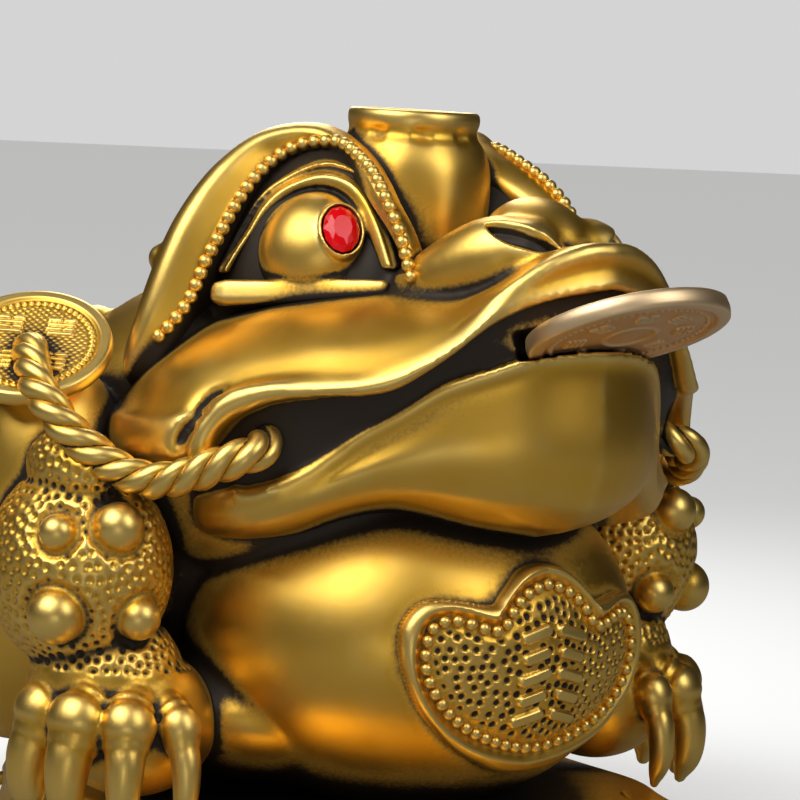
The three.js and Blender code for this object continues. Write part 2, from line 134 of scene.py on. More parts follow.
def treeOf(piece):
    mesh = piece.data
    return BVHTree.FromPolygons([v.co for v in mesh.vertices], [p.vertices for p in mesh.polygons])


# A value between the keys [place, value] of a table
def readTable(keys, place):
    return readRows([k[0] for k in keys], [k[1] for k in keys], place)


# The same for whole rows of values. The curve runs smoothly through the knots.
def readRows(knots, rows, place):
    x, y = np.array(knots, float), np.array(rows, float)
    last = len(x) - 1
    place = np.clip(np.asarray(place, float), x[0], x[last])
    i = np.clip(np.searchsorted(x, place, side="right") - 1, 0, last - 1)
    before, after = np.maximum(i - 1, 0), np.minimum(i + 2, last)
    extra = (1,) * (y.ndim - 1)
    wide = lambda v: v.reshape(v.shape + extra)
    span = wide(x[i + 1] - x[i])
    m0 = (y[i + 1] - y[before]) / wide(x[i + 1] - x[before]) * span
    m1 = (y[after] - y[i]) / wide(x[after] - x[i]) * span
    t = wide(place - x[i]) / span
    return (
        (2 * t**3 - 3 * t**2 + 1) * y[i]
        + (t**3 - 2 * t**2 + t) * m0
        + (3 * t**2 - 2 * t**3) * y[i + 1]
        + (t**3 - t**2) * m1
    )


def lengthsAlong(path):
    return np.concatenate([[0], np.cumsum(np.linalg.norm(np.diff(path, axis=0), axis=1))])


# So many places along a path, at equal steps
def placesAlong(path, count):
    run = lengthsAlong(path)
    at = np.linspace(0, run[-1], count)
    return np.stack([np.interp(at, run, column) for column in path.T], axis=1)


def evenly(path, spacing, least=2):
    return placesAlong(path, max(least, int(round(lengthsAlong(path)[-1] / spacing)) + 1))


# A curve through the points, as steps of about one length
def smoothPath(points, step):
    p = np.array(points, float)
    p = np.vstack([2 * p[0] - p[1], p, 2 * p[-1] - p[-2]])
    rows = []
    for a, b, c, d in zip(p, p[1:], p[2:], p[3:]):
        t1 = np.linalg.norm(b - a) ** 0.5
        t2 = t1 + np.linalg.norm(c - b) ** 0.5
        t3 = t2 + np.linalg.norm(d - c) ** 0.5
        t = np.linspace(t1, t2, 24, endpoint=False)[:, None]
        ab = ((t1 - t) * a + t * b) / t1
        bc = ((t2 - t) * b + (t - t1) * c) / (t2 - t1)
        cd = ((t3 - t) * c + (t - t2) * d) / (t3 - t2)
        abc = ((t2 - t) * ab + t * bc) / t2
        bcd = ((t3 - t) * bc + (t - t1) * cd) / (t3 - t1)
        rows.append(((t2 - t) * abc + (t - t1) * bcd) / (t2 - t1))
    return evenly(np.vstack(rows + [p[-2][None]]), step, 3)


# So many places along a line of the picture, a row of pixels
def spaced(pixels, count):
    return placesAlong(smoothPath([(x, y, 0) for x, y in pixels], 1)[:, :2], count)


def unit(v):
    return v / np.linalg.norm(v, axis=-1, keepdims=True)


def ease(value, low, high):
    t = np.clip((np.asarray(value, float) - low) / (high - low), 0, 1)
    return t * t * (3 - 2 * t)


def fullTurn(count):
    return np.linspace(0, 2 * np.pi, count, endpoint=False)


def circle(count):
    angle = fullTurn(count)
    return np.stack([np.cos(angle), np.sin(angle)], axis=-1)


# A power that keeps the sign. Of a circle's coordinates it makes a superellipse.
def signedPower(value, power):
    return np.sign(value) * np.abs(value) ** power


# A piece with its normals outwards
def pieceOf(name, points, faces):
    mesh = bpy.data.meshes.new(name)
    mesh.from_pydata((np.asarray(points) * mm).tolist(), [], faces)
    bm = bmesh.new()
    bm.from_mesh(mesh)
    bmesh.ops.recalc_face_normals(bm, faces=bm.faces)
    if bm.calc_volume(signed=True) < 0:
        bmesh.ops.reverse_faces(bm, faces=bm.faces)
    bm.to_mesh(mesh)
    bm.free()
    mesh.shade_smooth()
    piece = bpy.data.objects.new(name, mesh)
    bpy.context.scene.collection.objects.link(piece)
    return piece


# A closed skin over rings of points, with a pole at each end
def skin(name, rings, start, end):
    rings = np.asarray(rings)
    count, sides = rings.shape[:2]
    points = np.vstack([rings.reshape(-1, 3), [start], [end]])
    i = np.arange(count - 1)[:, None] * sides
    s = np.arange(sides)[None]
    t = (s + 1) % sides
    faces = np.stack([i + s, i + t, i + sides + t, i + sides + s], axis=-1).reshape(-1, 4).tolist()
    first, last, tail = count * sides, count * sides + 1, (count - 1) * sides
    for a in range(sides):
        b = (a + 1) % sides
        faces.append((first, b, a))
        faces.append((last, tail + a, tail + b))
    return pieceOf(name, points, faces)


# Directions that follow a path without twisting: along it, and two across
def framesAlong(path, upright=(0, 0, 1)):
    tangents = unit(np.gradient(path, axis=0))
    across = np.array(upright, float)
    rows = []
    for tangent in tangents:
        across = unit(across - np.dot(across, tangent) * tangent)
        rows.append((tangent, across, np.cross(tangent, across)))
    return np.array(rows)


# A radius or width at so many places along a line, of a number or a table over the share of its length
def sizesAlong(size, count):
    if isinstance(size, list):
        return readTable(size, np.linspace(0, 1, count))
    return np.full(count, float(size))


# A bar along a path with rounded ends. A power under 1 squares its section.
def bar(name, path, radius, sides=20, flat=1.0, upright=(0, 0, 1), power=1.0):
    count = len(path)
    radii = sizesAlong(radius, count)
    frames = framesAlong(path, upright)
    angles = fullTurn(sides)[:, None]
    high, wide = (signedPower(v, power) for v in (np.cos(angles), np.sin(angles)))

    def ring(i, shift, size):
        tangent, a, b = frames[i]
        r = radii[i] * size
        return path[i] + tangent * shift * radii[i] + r * (high * a + flat * wide * b)

    caps = [math.radians(d) for d in (70, 45, 20)]
    rings = [ring(0, -math.sin(c), math.cos(c)) for c in caps]
    rings += [ring(i, 0, 1) for i in range(count)]
    rings += [ring(count - 1, math.sin(c), math.cos(c)) for c in reversed(caps)]
    start = path[0] - frames[0][0] * radii[0]
    end = path[-1] + frames[-1][0] * radii[-1]
    return skin(name, rings, start, end)


def select(pieces):
    bpy.ops.object.select_all(action="DESELECT")
    for piece in pieces:
        piece.select_set(True)
    bpy.context.view_layer.objects.active = pieces[0]


def mass(name, centre, radii, turn=(0, 0, 0), segments=64):
    bpy.ops.object.select_all(action="DESELECT")
    bpy.ops.mesh.primitive_uv_sphere_add(segments=segments, ring_count=segments // 2, radius=1)
    piece = bpy.context.object
    piece.name = name
    piece.rotation_mode = "ZYX"
    piece.location = Vector(centre) * mm
    piece.scale = Vector(radii) * mm
    piece.rotation_euler = [math.radians(t) for t in turn]
    bpy.ops.object.transform_apply(location=True, rotation=True, scale=True)
    return piece


def mirrorOf(piece, name):
    other = piece.copy()
    other.data = piece.data.copy()
    other.name = other.data.name = name
    bpy.context.scene.collection.objects.link(other)
    movePoints(other, pointsOf(other) * (-1, 1, 1))
    other.data.flip_normals()
    return other


def paired(pieces):
    return pieces + [mirrorOf(p, p.name + "_left") for p in pieces]


def applyAll(piece):
    select([piece])
    for modifier in list(piece.modifiers):
        bpy.ops.object.modifier_apply(modifier=modifier.name)


def join(name, pieces):
    select(pieces)
    bpy.ops.object.join()
    made = bpy.context.object
    made.name = made.data.name = name
    return made


# Melts overlapping forms into one skin and softens where they meet
def fuse(name, pieces, voxel, soften):
    made = join(name, pieces)
    remesh = made.modifiers.new("remesh", "REMESH")
    remesh.mode = "VOXEL"
    remesh.voxel_size = voxel * mm
    remesh.use_smooth_shade = True
    smooth = made.modifiers.new("soften", "SMOOTH")
    smooth.factor = 0.5
    smooth.iterations = soften
    applyAll(made)
    return made


def cutBy(piece, cutter):
    cut = piece.modifiers.new("cut", "BOOLEAN")
    cut.operation = "DIFFERENCE"
    cut.solver = "EXACT"
    cut.object = cutter
    applyAll(piece)


def pointsOf(piece):
    flat = np.empty(len(piece.data.vertices) * 3, np.float32)
    piece.data.vertices.foreach_get("co", flat)
    return flat.reshape(-1, 3).astype(float) / mm


def movePoints(piece, points):
    piece.data.vertices.foreach_set("co", (points * mm).astype(np.float32).ravel())
    piece.data.update()


def normalsOf(piece):
    flat = np.empty(len(piece.data.vertices) * 3, np.float32)
    piece.data.vertex_normals.foreach_get("vector", flat)
    return flat.reshape(-1, 3).astype(float)


# Darkness beside what the hollows give: patina in some places, painted shade in others. Where two of them
# meet, the stronger one stays.
def addPatinaAndShade(piece, amount):
    attributes = piece.data.attributes
    made = attributes.get("stained") or attributes.new("stained", "FLOAT", "POINT")
    before = np.zeros(len(piece.data.vertices), np.float32)
    made.data.foreach_get("value", before)
    made.data.foreach_set("value", np.maximum(before, amount).astype(np.float32))


def beads(name, centres, diameter):
    bpy.ops.object.select_all(action="DESELECT")
    bpy.ops.mesh.primitive_ico_sphere_add(subdivisions=3, radius=diameter / 2 * mm)
    first = bpy.context.object
    one = pointsOf(first)
    faces = [tuple(p.vertices) for p in first.data.polygons]
    bpy.data.objects.remove(first)
    points = np.vstack([one + c for c in centres])
    count = len(one)
    allFaces = [tuple(i + k * count for i in face) for k in range(len(centres)) for face in faces]
    return pieceOf(name, points, allFaces)


# Head: a blunt superellipse in plan. The mouth's lines are heights read by the angle from the front.
headPlan = {"halfWidth": 52, "front": 50, "back": 45, "setBack": -3, "blunt": 1.25, "full": 0.95}
lips = {
    "upperRidge": [
        (0, 28.9), (8, 28.6), (15, 26.8), (20, 24.4), (26, 20.2), (33, 13.2), (44, 7.8), (56, 5.3), (67, 2.2),
        (90, -2), (180, -4),
    ],
    "upperEdge": [
        (0, 22.8), (5, 22.5), (17, 20.6), (26, 16.9), (33, 11.4), (37, 8.5), (41, 6), (45, 4.8), (52, 3.8),
        (56, 3.2), (60, 2.6), (63, 1.7), (66, 0.3), (68, -1), (72, -5.2), (78, -7.8), (90, -9), (180, -12),
    ],
    "lowerRidge": [
        (0, 13.4), (16, 12.7), (25, 9.7), (33, 6.6), (40, 2.3), (48, -2.2), (56, -7.6), (66, -11.4),
        (90, -14), (180, -16),
    ],
    "chin": [(0, -16.4), (23, -14.9), (40, -13.4), (50, -15), (65, -19.4), (90, -22), (180, -24)],
    "brow": [(0, 27.5), (12, 26.5), (25, 20.8), (60, 15.6), (90, 13), (180, 8)],
    "jawShare": [
        (0, 1), (18, 0.985), (35, 0.92), (50, 0.895), (66, 0.94), (80, 0.88), (110, 0.74), (180, 0.7)
    ],
}


def planPoints(angle, share, height):
    plan = headPlan
    inFront = np.cos(angle) > 0
    power = np.where(inFront, plan["blunt"], plan["full"])
    reach = np.where(inFront, plan["front"], plan["back"])
    x = plan["halfWidth"] * share * signedPower(np.sin(angle), power)
    y = plan["setBack"] - reach * share * signedPower(np.cos(angle), power)
    return np.stack(np.broadcast_arrays(x, y, height), axis=-1) + headCentre


def jaw(name, profile):
    segments, between, radius = 256, 7, 45
    angle = fullTurn(segments)
    a = np.degrees(np.abs(np.arctan2(np.sin(angle), np.cos(angle))))
    keys = np.array([[np.broadcast_to(v, a.shape) for v in key] for key in profile(a)])
    steps = np.hypot(radius * np.diff(keys[:, 0], axis=0), np.diff(keys[:, 1], axis=0)).mean(axis=1)
    knots = np.concatenate([[0], np.cumsum(np.maximum(steps, 0.5))])
    spans = [np.linspace(p, q, between, endpoint=False) for p, q in zip(knots, knots[1:])]
    at = np.concatenate(spans + [knots[-1:]])
    dense = readRows(knots, keys, at)
    rings = planPoints(angle, np.maximum(dense[:, 0], 0.001), dense[:, 1])
    return skin(name, rings[1:-1], rings[0].mean(axis=0), rings[-1].mean(axis=0))


def upperProfile(a):
    ridge, edge, brow = (readTable(lips[k], a) for k in ("upperRidge", "upperEdge", "brow"))
    front = 1 - ease(a, 40, 60)  # the crisp lip of the front, which rounds off towards the corner
    band = front * ease(ridge - edge, 2.5, 6)  # the concave band under the ridge, where there is room for one
    return [
        (0, 25),
        (0.4, 11 + 0.58 * brow),
        (0.68, brow),
        (0.86, 0.45 * brow + 0.55 * ridge + 0.8),
        (0.95 + 0.012 * front, ridge + 0.8),
        (0.985 - 0.005 * front, 0.85 * ridge + 0.15 * edge + 0.3),
        (1 - 0.03 * band, 0.55 * ridge + 0.45 * edge),
        (1 - 0.02 * band, 0.22 * ridge + 0.78 * edge),
        (0.985, edge),
        (0.955, edge - 0.3),
        (0.9, edge + 0.8),
        (0, 2),
    ]


def lowerProfile(a):
    ridge, chin, share = (readTable(lips[k], a) for k in ("lowerRidge", "chin", "jawShare"))
    pad = 1 - ease(a, 16, 30)
    front = 1 - ease(a, 44, 62)
    return [
        (0, 0),
        (0.82 * share, ridge - 1 + 3.2 * pad),
        (0.9 * share, ridge - 0.6 + 3 * pad),
        (0.95 * share, ridge - 0.3 * front),
        (0.972 * share, ridge + 0.1),
        ((0.985 - 0.008 * front) * share, ridge - 1.2),
        ((0.982 - 0.022 * front) * share, ridge - 3.8),
        (0.978 * share, 0.5 * ridge + 0.5 * chin),
        (0.96 * share, 0.3 * ridge + 0.7 * chin),
        (0.92 * share, 0.14 * ridge + 0.86 * chin),
        (0.8 * share, chin),
        (0, -24),
    ]


def mouthFloor():
    angle = fullTurn(160)
    a = np.degrees(np.abs(np.arctan2(np.sin(angle), np.cos(angle))))
    low, high = readTable(lips["lowerRidge"], a) - 3, readTable(lips["upperEdge"], a) + 3
    lowShare = 0.93 * readTable(lips["jawShare"], a)
    rings = [planPoints(angle, 0.4, -6 + 0.6 * (low + 6))]
    for s in np.linspace(0, 1, 12):
        rings.append(planPoints(angle, lowShare + (0.925 - lowShare) * s, low + (high - low) * s))
    rings.append(planPoints(angle, 0.4, 8 + 0.6 * (high - 8)))
    return skin("mouth_floor", rings, fromHead(0, -3, -6), fromHead(0, -3, 8))


# The loose coin's place, with +Z of its frame out of its upper face
coin = {
    "diameter": 31.6, "thickness": 2.8, "pitch": 24, "reach": 55.5, "rise": 16.8, "sideGap": 1.6,
    "topGap": 1.8, "gap": 0.3,
}


def frameFacing(centre, direction):
    direction = unit(np.array(direction, float))
    side = unit(np.cross((0, 0, 1), direction))
    return np.array(centre), np.array([side, np.cross(direction, side), direction])


def placed(points, frameAt):
    centre, axes = frameAt
    return centre + np.asarray(points, float) @ axes


coinFrame = frameFacing(fromHead(0, -coin["reach"], coin["rise"]), -towards(0, coin["pitch"] - 90))


def ringAt(flat, height, frameAt):
    return placed(np.column_stack([flat, np.full(len(flat), height)]), frameAt)


# A short drum between two heights of a frame, to cut with
def drum(name, outline, inset, low, high, frameAt):
    rows = ((inset, low), (1, low), (1, high), (inset, high))
    rings = [ringAt(outline * share, z, frameAt) for share, z in rows]
    return skin(name, rings, placed((0, 0, low), frameAt), placed((0, 0, high), frameAt))


def coinSlot():
    reach = coin["diameter"] / 2 + coin["sideGap"]
    low, high = -coin["thickness"] / 2 - coin["gap"], coin["thickness"] / 2 + coin["topGap"]
    return drum("coin_slot", reach * circle(96), 0.5, low, high, coinFrame)


mouthCornerPath = [
    fromHead(-37, -29.4, 6), fromHead(-40.9, -24.8, 4.8), fromHead(-44.5, -20, 3),
    fromHead(-47.1, -16.3, 0.7), fromHead(-48.6, -14.4, -2.2), fromHead(-49.2, -13.9, -5.4),
    fromHead(-49, -14.4, -8.2),
]
lipFoldPixels = [(326, 453), (304, 466), (274, 488), (256, 495), (243, 496), (235, 491), (234, 483)]
nostrilPixels = [(485, 224), (501, 230), (519, 236), (537, 242), (559, 248)]
creasePixels = [(233, 384), (219, 390), (206, 398), (189.5, 416), (178, 433), (174.6, 449.5), (178, 463)]
stripPixels = [(214, 398), (200, 412), (190, 425), (184, 440), (183, 455)]
wingPath = [
    fromHead(-15, -18, 18.5), fromHead(-12.4, -26, 22.4), fromHead(-9, -33.5, 26),
    fromHead(-6.6, -38.5, 27.2),
]
mouthTrees = []  # of the surfaces inside the mouth, which get painted shade later


def makeHead():
    upper = jaw("upper_jaw", upperProfile)
    lower = jaw("lower_jaw", lowerProfile)
    floor = mouthFloor()
    slot = coinSlot()
    for piece in (upper, lower, floor):
        cutBy(piece, slot)
    mouthTrees.extend([treeOf(floor), treeOf(slot)])
    bpy.data.objects.remove(slot)
    fold = smoothPath(onPieces(lipFoldPixels, [lower], -0.7), 0.5)
    corner, wing = smoothPath(mouthCornerPath, 0.5), smoothPath(wingPath, 0.5)
    both = [
        bar("corner", corner, [(0, 0.5), (0.25, 1.5), (0.5, 2.3), (0.75, 2.7), (1, 2.2)]),
        bar("lip_fold", fold, [(0, 0.4), (0.35, 1.1), (0.75, 1.5), (1, 1.1)]),
        bar("nostril_wing", wing, [(0, 3.5), (0.35, 5.6), (0.75, 6.7), (1, 5.4)], 32),
        mass("brow_behind", fromHead(-17, 8, 17), (14, 14, 22.6), (8, 10, 0)),
        mass("brow_front", fromHead(-15.5, -7, 18.4), (8, 11.5, 12.6), (0, 10, 0)),
        mass("brow_side", fromHead(-32, 14.5, 4), (8, 8, 13), (-6, -14, 0)),
    ]
    nose = mass("nose", fromHead(0, -32.5, 27), (8.2, 10.8, 8.6), (10, 0, 0))
    made = fuse("head", [upper, lower, floor, nose] + paired(both), 0.6, 3)
    melt(made, [(fromHead(-43, -22, 2), 14), (fromHead(-40, -30, -9), 7), (fromHead(-9, -30, 25), 17)], 36)
    return made


# Softens what lies near some places, on both sides
def melt(piece, places, times):
    points = pointsOf(piece)
    weight = np.zeros(len(points))
    for centre, reach in places:
        for side in (1, -1):
            gap = np.linalg.norm(points - centre * (side, 1, 1), axis=1)
            weight = np.maximum(weight, 1 - ease(gap, 0.6 * reach, reach))
    near = np.where(weight > 0)[0]
    group = piece.vertex_groups.new(name="soft")
    for level in (0.25, 0.5, 0.75, 1.0):
        chosen = near[(weight[near] > level - 0.25) & (weight[near] <= level)]
        group.add(chosen.tolist(), level, "REPLACE")
    smooth = piece.modifiers.new("melt", "SMOOTH")
    smooth.factor = 0.5
    smooth.iterations = times
    smooth.vertex_group = "soft"
    applyAll(piece)
    piece.vertex_groups.clear()


head = makeHead()
say("head fused")


# Which points lie in the box round a path, made wider by some reach
def nearPath(points, path, reach):
    return ((points > path.min(0) - reach) & (points < path.max(0) + reach)).all(1)


# Grooves (height < 0) drawn along a line of the picture, by how near to it each vertex is seen. Widths are
# in pixels. It gives how much of the groove lies on each vertex.
def draw(piece, pixels, width, height, sharp=False):
    reach, count = 5.0, 120
    points, normals = pointsOf(piece), normalsOf(piece)
    hits = onPieces(pixels, [piece])
    line = spaced(pixels, count)
    widths = sizesAlong(width, count)
    drawn = np.zeros(len(points))
    for side in (1, -1):
        p, n = points * (side, 1, 1), normals * (side, 1, 1)
        near = np.where(nearPath(p, hits, reach))[0]
        seen = seenAt(p[near])
        facing = ((viewpoint - p[near]) * n[near]).sum(1) > 0
        toHits = np.min(np.linalg.norm(p[near][:, None] - hits[None], axis=2), axis=1)
        gaps = np.hypot(*(seen[:, None] - line[None]).transpose(2, 0, 1)) / widths[None]
        gap = gaps.min(axis=1)
        place = gaps.argmin(axis=1) / (count - 1)
        fade = ease(np.minimum(place, 1 - place), 0, 0.25) if not sharp else 1
        shape = 1 - ease(gap, 0.55, 1.2) if sharp else np.exp(-(gap**2))
        here = facing * (toHits < reach + 3) * fade
        points[near] += normals[near] * (here * height * shape)[:, None]
        drawn[near] = np.maximum(drawn[near], here * (1 - ease(gap, 0.85, 1.15) if sharp else shape))
    movePoints(piece, points)
    return drawn


# A finer mesh along a line of the picture, on both sides
def refine(piece, pixels, reach):
    hits = onPieces(pixels, [piece])
    line = smoothPath(hits, 1.0)
    points = pointsOf(piece)
    gap = np.full(len(points), 99.0)
    for side in (1, -1):
        p = points * (side, 1, 1)
        near = np.where(nearPath(p, line, reach))[0]
        found = np.min(np.linalg.norm(p[near][:, None] - line[None], axis=2), axis=1)
        gap[near] = np.minimum(gap[near], found)
    made = bmesh.new()
    made.from_mesh(piece.data)
    made.verts.ensure_lookup_table()
    edges = [e for e in made.edges if max(gap[v.index] for v in e.verts) < reach]
    bmesh.ops.subdivide_edges(made, edges=edges, cuts=2, use_grid_fill=True)
    made.to_mesh(piece.data)
    made.free()


refine(head, nostrilPixels, 3.4)
refine(head, creasePixels, 2.2)
nostrilWidth = [(0, 0.6), (0.2, 7.5), (0.45, 10.5), (0.75, 8), (1, 0.8)]
addPatinaAndShade(head, 1.5 * draw(head, nostrilPixels, nostrilWidth, -1.9, True))
addPatinaAndShade(head, 0.9 * draw(head, creasePixels, 5.5, -1.1))
addPatinaAndShade(head, 0.35 * draw(head, stripPixels, 5.5, -0.8))
melt(head, [(fromHead(-9, -34, 27), 12)], 2)
melt(head, [(fromHead(-41, -25, 5.6), 9), (fromHead(-46, -17, 1), 13)], 14)
say("face lines")


# Eyes. Paths in the picture are laid on planes that face the way the eye looks.
eye = {"centre": fromHead(-19.4, -3.8, 24), "seat": 9.6, "aside": -1.2, "looks": (-58, 14), "gem": (-24, 28)}
eyeFrame = frameFacing(eye["centre"], towards(*eye["looks"]))
eyeBall = placed((eye["aside"], 0, 0), eyeFrame)
eyePixel = np.array((313, 250))
lidPixels = {
    "groove": [
        (229, 274), (240, 257), (257, 235), (276, 212), (297, 194), (323, 188), (343, 195), (358, 215),
        (369, 238), (380, 270),
    ],
    "inner": [
        (224, 273), (234, 256), (251, 231), (265, 208), (283, 191), (320, 177), (343, 181), (358, 192),
        (374, 221), (390, 270),
    ],
    "outer": [
        (217, 272), (227, 252), (244, 222), (258, 200), (276, 184), (320, 164), (345, 167), (362, 179),
        (385, 225), (399, 270),
    ],
}
# Rows of the upper lid from the eyeball outwards: a line of the picture, pixels to its outside, and how far
# towards the viewer it stands at the outer corner, left, top, right and inner corner
lidRows = [
    ("groove", -7, (0.5, -1.2, -1.0, 2.4, 2.0)),
    ("groove", -1, (2.4, 0.8, 1.4, 4.0, 4.2)),
    ("groove", 1.5, (3.6, 2.4, 3.2, 5.2, 5.6)),
    ("inner", 0, (4.6, 3.8, 4.2, 5.9, 6.3)),
    ("inner", 3.5, (4.3, 3.3, 3.5, 5.4, 6.0)),
    ("inner", 7, (3.8, 2.4, 2.4, 4.4, 5.4)),
    ("outer", -2.5, (3.9, 2.5, 2.4, 4.4, 5.3)),
    ("outer", 0, (4.3, 3.1, 3.1, 4.8, 5.6)),
    ("outer", 2.5, (3.6, 2.2, 2.0, 3.8, 4.8)),
    ("outer", 7, (3.2, 1.4, 1.0, 2.8, 4.2)),
    ("outer", 16, (2.0, 0, -1.0, 1.6, 3.0)),
]
ledge = {
    "pixels": [(217, 291), (232, 291), (262, 291), (300, 290), (340, 288), (366, 287), (379, 286)],
    "depth": 8, "thick": [(0, 1.9), (0.05, 2.1), (0.5, 1.95), (0.9, 1.6), (1, 1.3)],
}
beadPixels = [
    (412, 277), (404, 245), (400, 232), (389, 206), (375, 177), (360, 158), (341, 143), (326, 141),
    (301, 144), (279, 155), (259, 172), (243, 192), (229, 215), (217, 238), (205, 261), (196, 284),
    (186, 304), (172, 323), (159, 336),
]
browArch = [
    fromHead(-14.6, -21.6, 17), fromHead(-17, -20, 26.8), fromHead(-18.2, -14.6, 33.3),
    fromHead(-16.8, -7.9, 37), fromHead(-15.2, -1.4, 39.5), fromHead(-16.8, 5, 41.3),
    fromHead(-22, 9.2, 39.6), fromHead(-28.6, 10, 34.2), fromHead(-34.8, 9.8, 26), fromHead(-40, 11.4, 11),
    fromHead(-41, 14, 4), fromHead(-38, 17.5, 0),
]
# Section of the hood, [outwards from the arch, towards the viewer], from the socket round to the back
hoodSection = [
    (-3.3, -7), (-3.2, -3), (-2.9, -0.2), (-2.3, 1.1), (-1.2, 1.6), (0.4, 2.3), (1.8, 2.9), (3.0, 2.7),
    (4.3, 1.6), (5.4, -0.6), (5.9, -3.5), (5.2, -7), (0.5, -9),
]
hoodWidth = [
    (0, 0.3), (0.2, 0.42), (0.36, 0.58), (0.48, 0.8), (0.6, 1.02), (0.78, 1.1), (0.92, 0.95), (1, 0.5)
]


def hood():
    path = smoothPath(browArch, 0.6)
    count = len(path)
    widths = readTable(hoodWidth, np.linspace(0, 1, count))
    tangents = unit(np.gradient(path, axis=0))
    looks = towards(*eye["looks"])
    section = np.array(hoodSection)
    closed = np.vstack([section, section[:1]])
    fine = smoothPath(np.column_stack([closed, np.zeros(len(closed))]), 0.5)[:-1, :2]
    rings = []
    for i in range(count):
        out = unit(np.cross(looks, tangents[i]))
        out = out if np.dot(out, path[i] - eye["centre"]) > 0 else -out
        front = unit(looks - np.dot(looks, tangents[i]) * tangents[i])
        x, y = fine[:, :1] * widths[i], fine[:, 1:] * min(1, widths[i] + 0.15)
        rings.append(path[i] + x * out + y * front)
    return skin("hood", rings[1:-1], rings[0].mean(axis=0), rings[-1].mean(axis=0))


# Points of the picture, each at its own depth in a frame
def atDepths(pixels, depths, frameAt):
    centre, axes = frameAt
    places = []
    for (x, y), depth in zip(pixels, depths):
        look = sight(x, y)
        along = (depth + np.dot(centre - viewpoint, axes[2])) / np.dot(look, axes[2])
        places.append(viewpoint + look * along)
    return np.array(places)


def makeLid():
    count = 96
    share = np.linspace(0, 1, count)
    rows = []
    for line, outside, depths in lidRows:
        pixels = spaced(lidPixels[line], count)
        depth = readTable(list(zip((0, 0.25, 0.5, 0.75, 1), depths)), share)
        rows.append(atDepths(pixels + outside * unit(pixels - eyePixel), depth, eyeFrame))
    front = readRows(range(len(rows)), rows, np.linspace(0, len(rows) - 1, 44))
    looks = eyeFrame[1][2]
    rings = np.concatenate([front, [front[-1] - 7 * looks, front[0] - 4 * looks]]).transpose(1, 0, 2)
    return skin("lid", rings[1:-1], rings[0].mean(axis=0), rings[-1].mean(axis=0))


def makeEye():
    looks, upright = eyeFrame[1][2], eyeFrame[1][1]
    depths = [ledge["depth"]] * len(ledge["pixels"])
    middle = smoothPath(atDepths(ledge["pixels"], depths, eyeFrame), 0.5)
    radius = np.linalg.norm(gemFrame[0] - eyeBall)
    parts = [mass("eyeball", eyeBall, (radius,) * 3, segments=96), makeLid(), bezel()]
    parts.append(bar("ledge", middle - 2.5 * looks, ledge["thick"], 48, 1.3, upright, 0.45))
    return fuse("right_eye", parts, 0.3, 2)


gem = {"width": 6, "length": 8, "wall": 0.45, "gap": 0.3}
gemLooks = towards(*eye["gem"])
gemFrame = frameFacing(eye["centre"] + gemLooks * eye["seat"], gemLooks)


gemOpening = np.array((gem["width"], gem["length"])) / 2 + gem["gap"]


# The setting, a ring of metal round the stone
def bezel():
    sides, wall = 72, gem["wall"]
    rows = [
        (0, -2.6), (0, 0.2), (0.12, 0.36), (0.28, 0.36), (wall, 0.1), (wall + 0.2, -0.8), (wall + 0.2, -2.6)
    ]
    points = np.vstack([ringAt(circle(sides) * (gemOpening + out), z, gemFrame) for out, z in rows])
    faces = []
    for r in range(len(rows)):
        for s in range(sides):
            a, b, t = r * sides, ((r + 1) % len(rows)) * sides, (s + 1) % sides
            faces.append((a + s, a + t, b + t, b + s))
    return pieceOf("bezel", points, faces)


# The stone: a table, a ring of kites, a girdle and a shallow back, all flat facets
def makeGem(name):
    count = 12
    rings = [(0.0, 0.5, 1.15), (0.5, 0.78, 0.75), (0.0, 1.0, 0.1), (0.0, 1.0, -0.15), (0.5, 0.6, -0.9)]
    points, faces = [], []
    for shift, share, z in rings:
        for s in range(count):
            angle = 2 * math.pi * (s + shift) / count
            x, y = gem["width"] / 2 * share * math.cos(angle), gem["length"] / 2 * share * math.sin(angle)
            points.append((x, y, z))
    points += [(0, 0, 1.15), (0, 0, -1.5)]
    for s in range(count):
        t = (s + 1) % count
        top, mid, girdle, under, back = (k * count for k in range(5))
        faces += [
            (len(points) - 2, top + s, top + t), (top + s, mid + s, top + t), (mid + s, mid + t, top + t),
            (mid + s, girdle + s, girdle + t), (mid + s, girdle + t, mid + t),
            (girdle + s, under + s, under + t, girdle + t),
            (under + s, back + s, under + t), (back + s, back + t, under + t),
            (back + s, len(points) - 1, back + t),
        ]
    made = pieceOf(name, placed(points, gemFrame), faces)
    made.data.shade_flat()
    return made


rightEye = makeEye()
hole = drum("gem_hole", circle(72) * gemOpening, 0.6, -2, 5, gemFrame)
cutBy(rightEye, hole)
bpy.data.objects.remove(hole)
browWart = mass("wart", fromHead(-38.2, 15.4, 21.6), (2.4,) * 3, segments=32)
rightHood = fuse("right_hood", [hood(), browWart], 0.36, 6)
say("eyes")

# Pot on the crown, a jar with a rolled rim and soft dents under it
pot = {"setBack": 0.8, "foot": 12, "top": 47.8, "belly": 13.4, "mouth": 10.8, "lobes": 9, "dent": 0.5}


